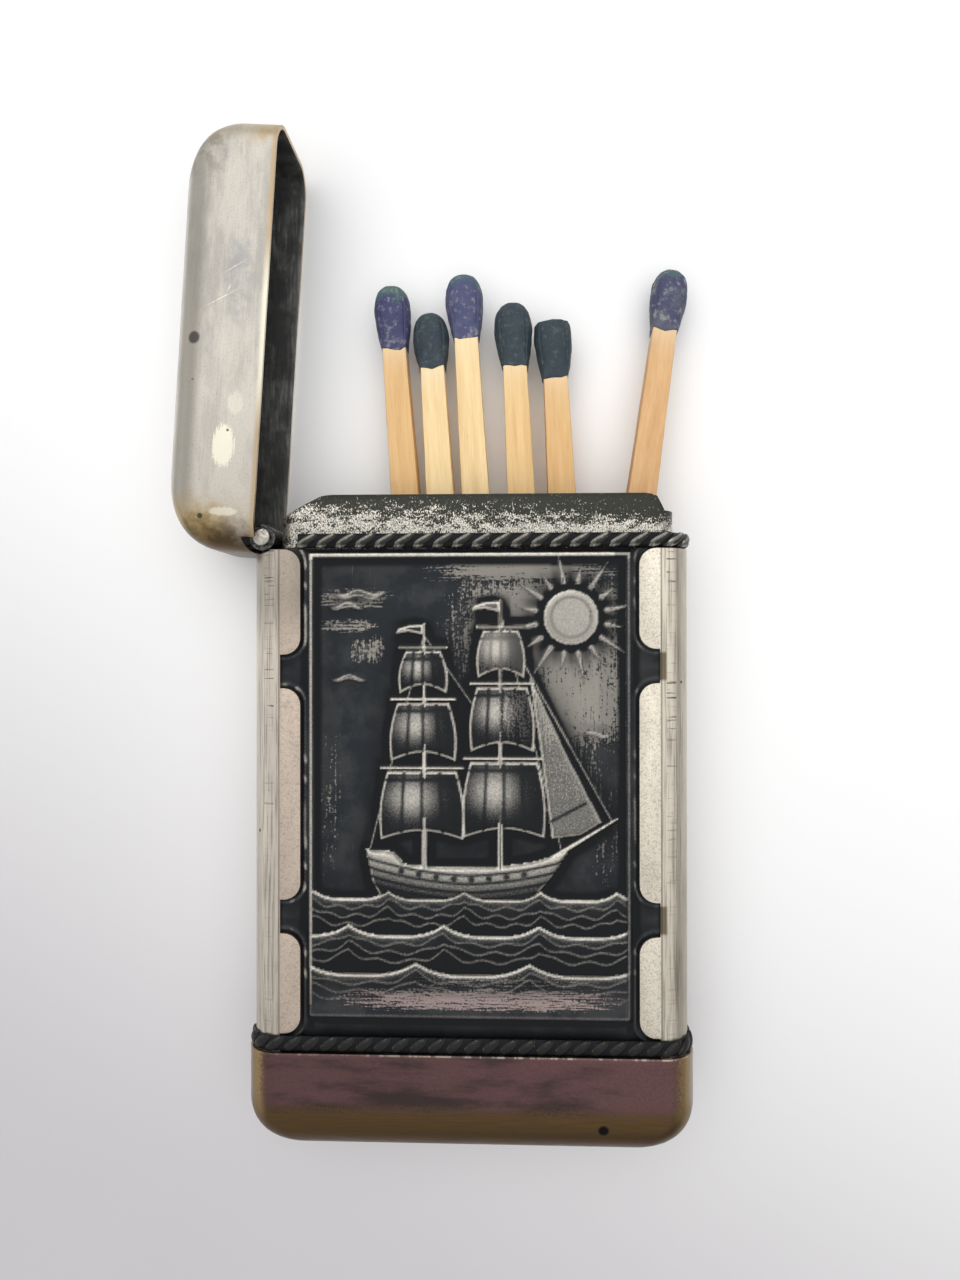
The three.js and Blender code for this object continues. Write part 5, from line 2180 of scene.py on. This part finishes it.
@dataclass
class Match:
    """One wooden match."""

    number: int
    x: float
    z: float
    lean: float
    rise: float
    look: Head
    dip: float = 0.0
    broken: bool = False
    foot_y: float = 54.6
    length: float = 50.0
    stick: float = 2.5
    head_length: float = 5.6
    head_radius: float = 1.7
    stick_end: float = 2.12
    cover: float = 0.35
    tucked: float = 0.6
    bulb: float = 2.4
    lost_tip: float = 0.9
    stick_edge: float = 0.14
    cuts: int = 40

    def place(self) -> Matrix:
        """Where the match stands.

        Returns:
            The place whose +Y runs along the stick from the neck's top edge.
        """
        turn = Euler((-math.radians(self.dip), 0, 0)).to_matrix().to_4x4()
        lean = Matrix.Rotation(math.radians(self.lean), 4, "Z")
        return Matrix.Translation((self.x, self.foot_y, self.z)) @ lean @ turn

    def build_stick(self, finish: Material) -> None:
        """Split the stick.

        Args:
            finish: Its finish.
        """
        half = self.stick / 2
        low, high = self.rise - self.length, self.rise - self.head_length + self.tucked
        obj = block((-half, low, -half), (half, high, half))
        edit(obj)
        for step in range(1, self.cuts):
            cut_across((0, low + (high - low) * step / self.cuts, 0), (0, 1, 0))
        clear()
        soften(obj, self.stick_edge, 2, 60)
        places = read_points(obj)
        to_head = np.clip(places[:, 1] / (high - self.tucked), 0, 1)
        for row, share in zip(places, to_head):
            sway = noise.noise_vector(Vector((self.number * 7.3, row[1] * 0.16, 0)))
            rough = noise.noise_vector(Vector((row[0] * 0.7 + self.number, row[1] * 0.5, row[2] * 0.7)))
            taper = 1 + share * (self.stick_end / self.stick - 1)
            row[0] = row[0] * taper + 0.03 * sway.x - 0.04 * abs(rough.y) * np.sign(row[0])
            row[2] = row[2] * taper + 0.03 * sway.y - 0.04 * abs(rough.z) * np.sign(row[2])
        move_points(obj, places)
        paint(obj, "pale", np.exp(-np.clip(high - self.tucked - places[:, 1], 0, 40) / 1.3))
        self.stand(obj)
        body = f"match_{self.number}"
        deliver(obj, f"stick_{self.number}", body, [finish], [f"{body}_stick"])

    def profile(self) -> list[tuple[float, float]]:
        """Outline of the head: a bulb on a foot as thick as the stick.

        Returns:
            Height and radius, from the foot to the tip.
        """
        foot = self.rise - self.head_length - self.cover
        widest = self.rise - self.bulb
        slim = 1 - (self.stick_end / 2 + 0.06) / self.head_radius
        rows = []
        for share in (0, 0.06, 0.15, 0.3, 0.45, 0.6, 0.75, 0.9, 1):
            rows.append((foot + (widest - foot) * share, self.head_radius * (1 - slim * (1 - share) ** 1.6)))
        tip = self.rise - self.lost_tip if self.broken else self.rise
        for share in (0.25, 0.45, 0.62, 0.76, 0.87, 0.94, 0.98):
            y = widest + (self.rise - widest) * share
            if y < tip - 0.1:
                rows.append((y, self.head_radius * (1 - share ** 2.7) ** (1 / 2.7)))
        last = rows[-1][1]
        ends = ((0.10, 0.97), (0.03, 0.90), (0.0, 0.62)) if self.broken else ((0.03, 0.8), (0.0, 0.4))
        return rows + [(tip - drop, last * share) for drop, share in ends]

    def build_head(self, finish: Material) -> None:
        """Dip the head.

        Args:
            finish: Its finish.
        """
        rows = self.profile()
        foot, slim = rows[0]
        obj = outline(slim, slim, 0.22, foot, 0, 6)
        draw_out([(y, radius, radius) for y, radius in rows], 0)
        face_out(obj)
        modify(obj, "SUBSURF", levels=1, render_levels=1)
        places = read_points(obj)
        rounded = np.clip((places[:, 1] - foot) / 1.4, 0, 1)
        for row, share in zip(places, rounded):
            flat = math.hypot(row[0], row[2])
            if flat > 0:
                scale = 1 + share * (max(abs(row[0]), abs(row[2])) / flat - 1)
                row[0] *= scale
                row[2] *= scale
            seed = Vector(row) * 1.1 + Vector((self.number * 5.1, 0, 0))
            lump = (noise.noise(seed) * 0.06 + noise.noise(seed * 3.1) * 0.022) * share
            if flat > 0.2:
                row[0] *= 1 + lump / max(flat, 0.6)
                row[2] *= 1 + lump / max(flat, 0.6)
            drip = 0.45 * noise.noise(Vector((math.atan2(row[2], row[0]) * 1.3, self.number * 3.7, 0)))
            row[1] += drip * (1 - share) + 0.05 * noise.noise(seed * 2.0) * share
        places[:, 1] = np.minimum(places[:, 1], self.rise)
        move_points(obj, places)
        paint(obj, "along", np.clip((places[:, 1] - foot) / (self.rise - foot), 0, 1))
        self.stand(obj)
        body = f"match_{self.number}"
        deliver(obj, f"head_{self.number}", body, [finish], [f"{body}_head"], ROUNDED)

    def stand(self, obj: Piece) -> None:
        """Put a piece where the match stands.

        Args:
            obj: The piece, modelled about the origin.
        """
        only(obj)
        obj.matrix_world = self.place()
        settle()


@dataclass
class MatchBundle:
    """The six matches."""

    layer_z: float = -2.1
    last_z: float = -1.185
    tan: Colour = (0.80, 0.51, 0.23, 1)
    straw: Colour = (0.97, 0.73, 0.39, 1)
    deal: Colour = (0.88, 0.61, 0.29, 1)
    russet: Colour = (0.75, 0.46, 0.22, 1)
    grain_shade: tuple[float, float, float] = (0.74, 0.62, 0.50)

    @staticmethod
    def compounds() -> dict[Head, MatchCompound]:
        """The compounds of the heads.

        Returns:
            The finish of each kind of head.
        """
        return {
            Head.PURPLE_GREEN_TIP: MatchCompound(
                "purple_green_head", body=(0.050, 0.052, 0.138, 1), mottle=(0.074, 0.081, 0.162, 1),
                tip=(0.082, 0.150, 0.142, 1), tip_from=0.74, speckle=0.6,
            ),
            Head.PURPLE_BLUE_TIP: MatchCompound(
                "purple_blue_head", body=(0.068, 0.073, 0.168, 1), mottle=(0.112, 0.128, 0.210, 1),
                tip=(0.062, 0.120, 0.155, 1), tip_from=0.76, speckle=0.65,
            ),
            Head.MOTTLED: MatchCompound(
                "mottled_head", body=(0.058, 0.060, 0.130, 1), mottle=(0.135, 0.150, 0.170, 1),
                tip=(0.070, 0.125, 0.140, 1), tip_from=0.80, speckle=0.8,
            ),
            Head.TEAL: MatchCompound(
                "teal_head", body=(0.026, 0.044, 0.057, 1), mottle=(0.042, 0.065, 0.077, 1),
                tip=(0.034, 0.055, 0.066, 1), tip_from=0.9, speckle=0.15,
            ),
        }

    def build(self) -> None:
        """Model the matches and dress them."""
        finishes = {look: compound.build() for look, compound in self.compounds().items()}
        z = self.layer_z
        matches = (
            (Match(1, -5.95, z, 4.2, 19.7, Head.PURPLE_GREEN_TIP, head_radius=1.65), self.tan),
            (Match(2, -2.8, z, 3.6, 17.2, Head.TEAL, head_radius=1.63, cover=-0.35, tucked=1.2), self.straw),
            (Match(3, 0.35, z, 3.4, 20.6, Head.PURPLE_BLUE_TIP), self.straw),
            (Match(4, 4.4, z, 2.7, 18.0, Head.TEAL), self.deal),
            (Match(5, 8.0, z, 3.0, 17.1, Head.TEAL, broken=True), self.tan),
            (Match(6, 14.85, self.last_z, -8.5, 21.3, Head.MOTTLED, dip=5.0, head_radius=1.66), self.russet),
        )
        for match, light in matches:
            dark = tuple(part * share for part, share in zip(light, self.grain_shade)) + (1.0,)
            match.build_stick(MatchWood(match.number, match.x, match.lean, light, dark).build())
            match.build_head(finishes[match.look])


@dataclass
class Studio:
    """Floor, light and camera."""

    floor_z: float = -5.62
    eye: tuple[float, float, float] = (4.224, 42.078, 85.024)
    turn: tuple[float, float, float] = (-0.004, -0.041, 0.001)
    lens: float = 27.28
    sensor: float = 36
    clip_near: float = 2
    floor_shade: Colour = (0.52, 0.505, 0.52, 1)
    floor_lit: Colour = (0.93, 0.93, 0.93, 1)
    floor_cloud: Colour = (0.8, 0.78, 0.8, 1)
    lamp_place: tuple[float, float, float] = (-120, 330, 330)
    lamp_aim: tuple[float, float, float] = (0, 40, 0)
    lamp_size: float = 420
    lamp_watts: float = 0.26

    def build(self) -> None:
        """Set up everything round the object."""
        self.floor()
        self.world()
        self.lamp()
        self.camera()

    def floor(self) -> None:
        """A pale floor, its colour darkened towards the base end and the left as painted shade."""
        clear()
        bpy.ops.mesh.primitive_plane_add(size=4, location=(0, 0.04, self.floor_z * MM))
        floor = settle()
        floor.name = "floor"
        finish = Finish("floor_white")
        graph = finish.graph
        here = graph.millimetres()
        x, y, _ = graph.parts(here)
        cloud = here.grain(0.03, 0.2, 0.8)
        # Painted shade: the floor's colour darkens towards the base end and the left, away from the light
        towards = y + x * 0.5
        tone = graph.mix(towards.ramp(-30, 60), self.floor_shade, self.floor_lit)
        tone = graph.mix(cloud * 0.06, tone, self.floor_cloud)
        floor.data.materials.append(finish.set(Base_Color=tone, Roughness=0.6))

    def world(self) -> None:
        """A pale room with a bright ceiling, white to the camera, darker low on the right and in front."""
        scene = bpy.context.scene
        scene.world = bpy.data.worlds.new("studio")
        scene.world.use_nodes = True
        tree = scene.world.node_tree
        graph = Graph(tree)
        x, y, z = graph.parts(graph.node("TexCoord").outputs["Generated"])
        low = x.ramp(-0.8, 0.6, 1.1, 0.34)
        top = x.ramp(-0.45, 0.45, 0.8, 1.14)
        away = y.ramp(-0.9, 0.6, 0.66, 1.04)
        room = graph.mix(z.ramp(0.1, 0.75), low, top) * away
        ceiling = z.ramp(0.5, 0.97, 0.12, 2.15)
        path = graph.node("LightPath")
        strength = graph.mix(path.outputs["Is Glossy Ray"], ceiling, room)
        strength = graph.mix(path.outputs["Is Camera Ray"], strength, (1, 1, 1, 1))
        graph.fill(tree.nodes["Background"], Color=strength, Strength=1)
        scene.view_settings.view_transform = "Standard"

    def lamp(self) -> None:
        """A soft square lamp."""
        lamp = bpy.data.lights.new("key", "AREA")
        lamp.size = self.lamp_size * MM
        lamp.energy = self.lamp_watts
        obj = bpy.data.objects.new("key", lamp)
        bpy.context.scene.collection.objects.link(obj)
        obj.location = Vector(self.lamp_place) * MM
        aim = Vector(self.lamp_aim) - Vector(self.lamp_place)
        obj.rotation_euler = aim.to_track_quat("-Z", "Y").to_euler()

    def camera(self) -> None:
        """The camera, straight above and a little to the right."""
        camera = bpy.data.cameras.new("camera")
        camera.lens = self.lens
        camera.sensor_width = self.sensor
        camera.clip_start = self.clip_near * MM
        obj = bpy.data.objects.new("camera", camera)
        bpy.context.scene.collection.objects.link(obj)
        rx, ry, rz = self.turn
        turn = Matrix.Rotation(rz, 4, "Z") @ Matrix.Rotation(ry, 4, "Y") @ Matrix.Rotation(rx, 4, "X")
        obj.matrix_world = Matrix.Translation(Vector(self.eye) * MM) @ turn.transposed()
        bpy.context.scene.camera = obj


def main() -> None:
    """Build every sub-assembly in order."""
    logging.basicConfig(level=logging.INFO, format="%(name)s: %(message)s")
    noise.seed_set(NOISE_SEED)
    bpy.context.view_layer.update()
    Studio().build()
    band = BandNickel().build()
    inside = DarkInside().build()
    black = BlackenedSilver().build()
    pin = TurnedMetal("pin_nickel", (0.66, 0.62, 0.56, 1), (0.40, 0.37, 0.33, 1)).build()
    leaf = TurnedMetal("leaf_black", (0.030, 0.032, 0.036, 1), (0.15, 0.142, 0.128, 1)).build()
    steel = TurnedMetal("spring_steel", (0.42, 0.42, 0.43, 1), (0.24, 0.24, 0.25, 1)).build()
    BaseCap().build(CapBrass().build(), inside)
    SideBands().build(band)
    Panels().build(black)
    Rope(
        "upper_rope", "top_rope", low_y=50.05, height=1.2, half_x=17.975, centre_x=0.525, depth=0.62,
        seat=0.82, pitch=1.6, tilt=29, ridge=0.74, tip=0.7, dark=0.1, start_x=-14.2,
    ).build(black)
    Rope(
        "lower_rope", "bottom_rope", low_y=8.4, height=1.25, half_x=SIZES.cap_half_x, centre_x=0.0,
        depth=0.36, seat=0.36, pitch=1.5, tilt=36, ridge=0.33, tip=0.22, dark=0.6,
    ).build(black)
    NeckCollar().build(black)
    Hinge().build(leaf, pin, steel)
    Lid().build(LidNickel().build(), inside)
    MatchBundle().build()


if __name__ == "__main__":
    main()
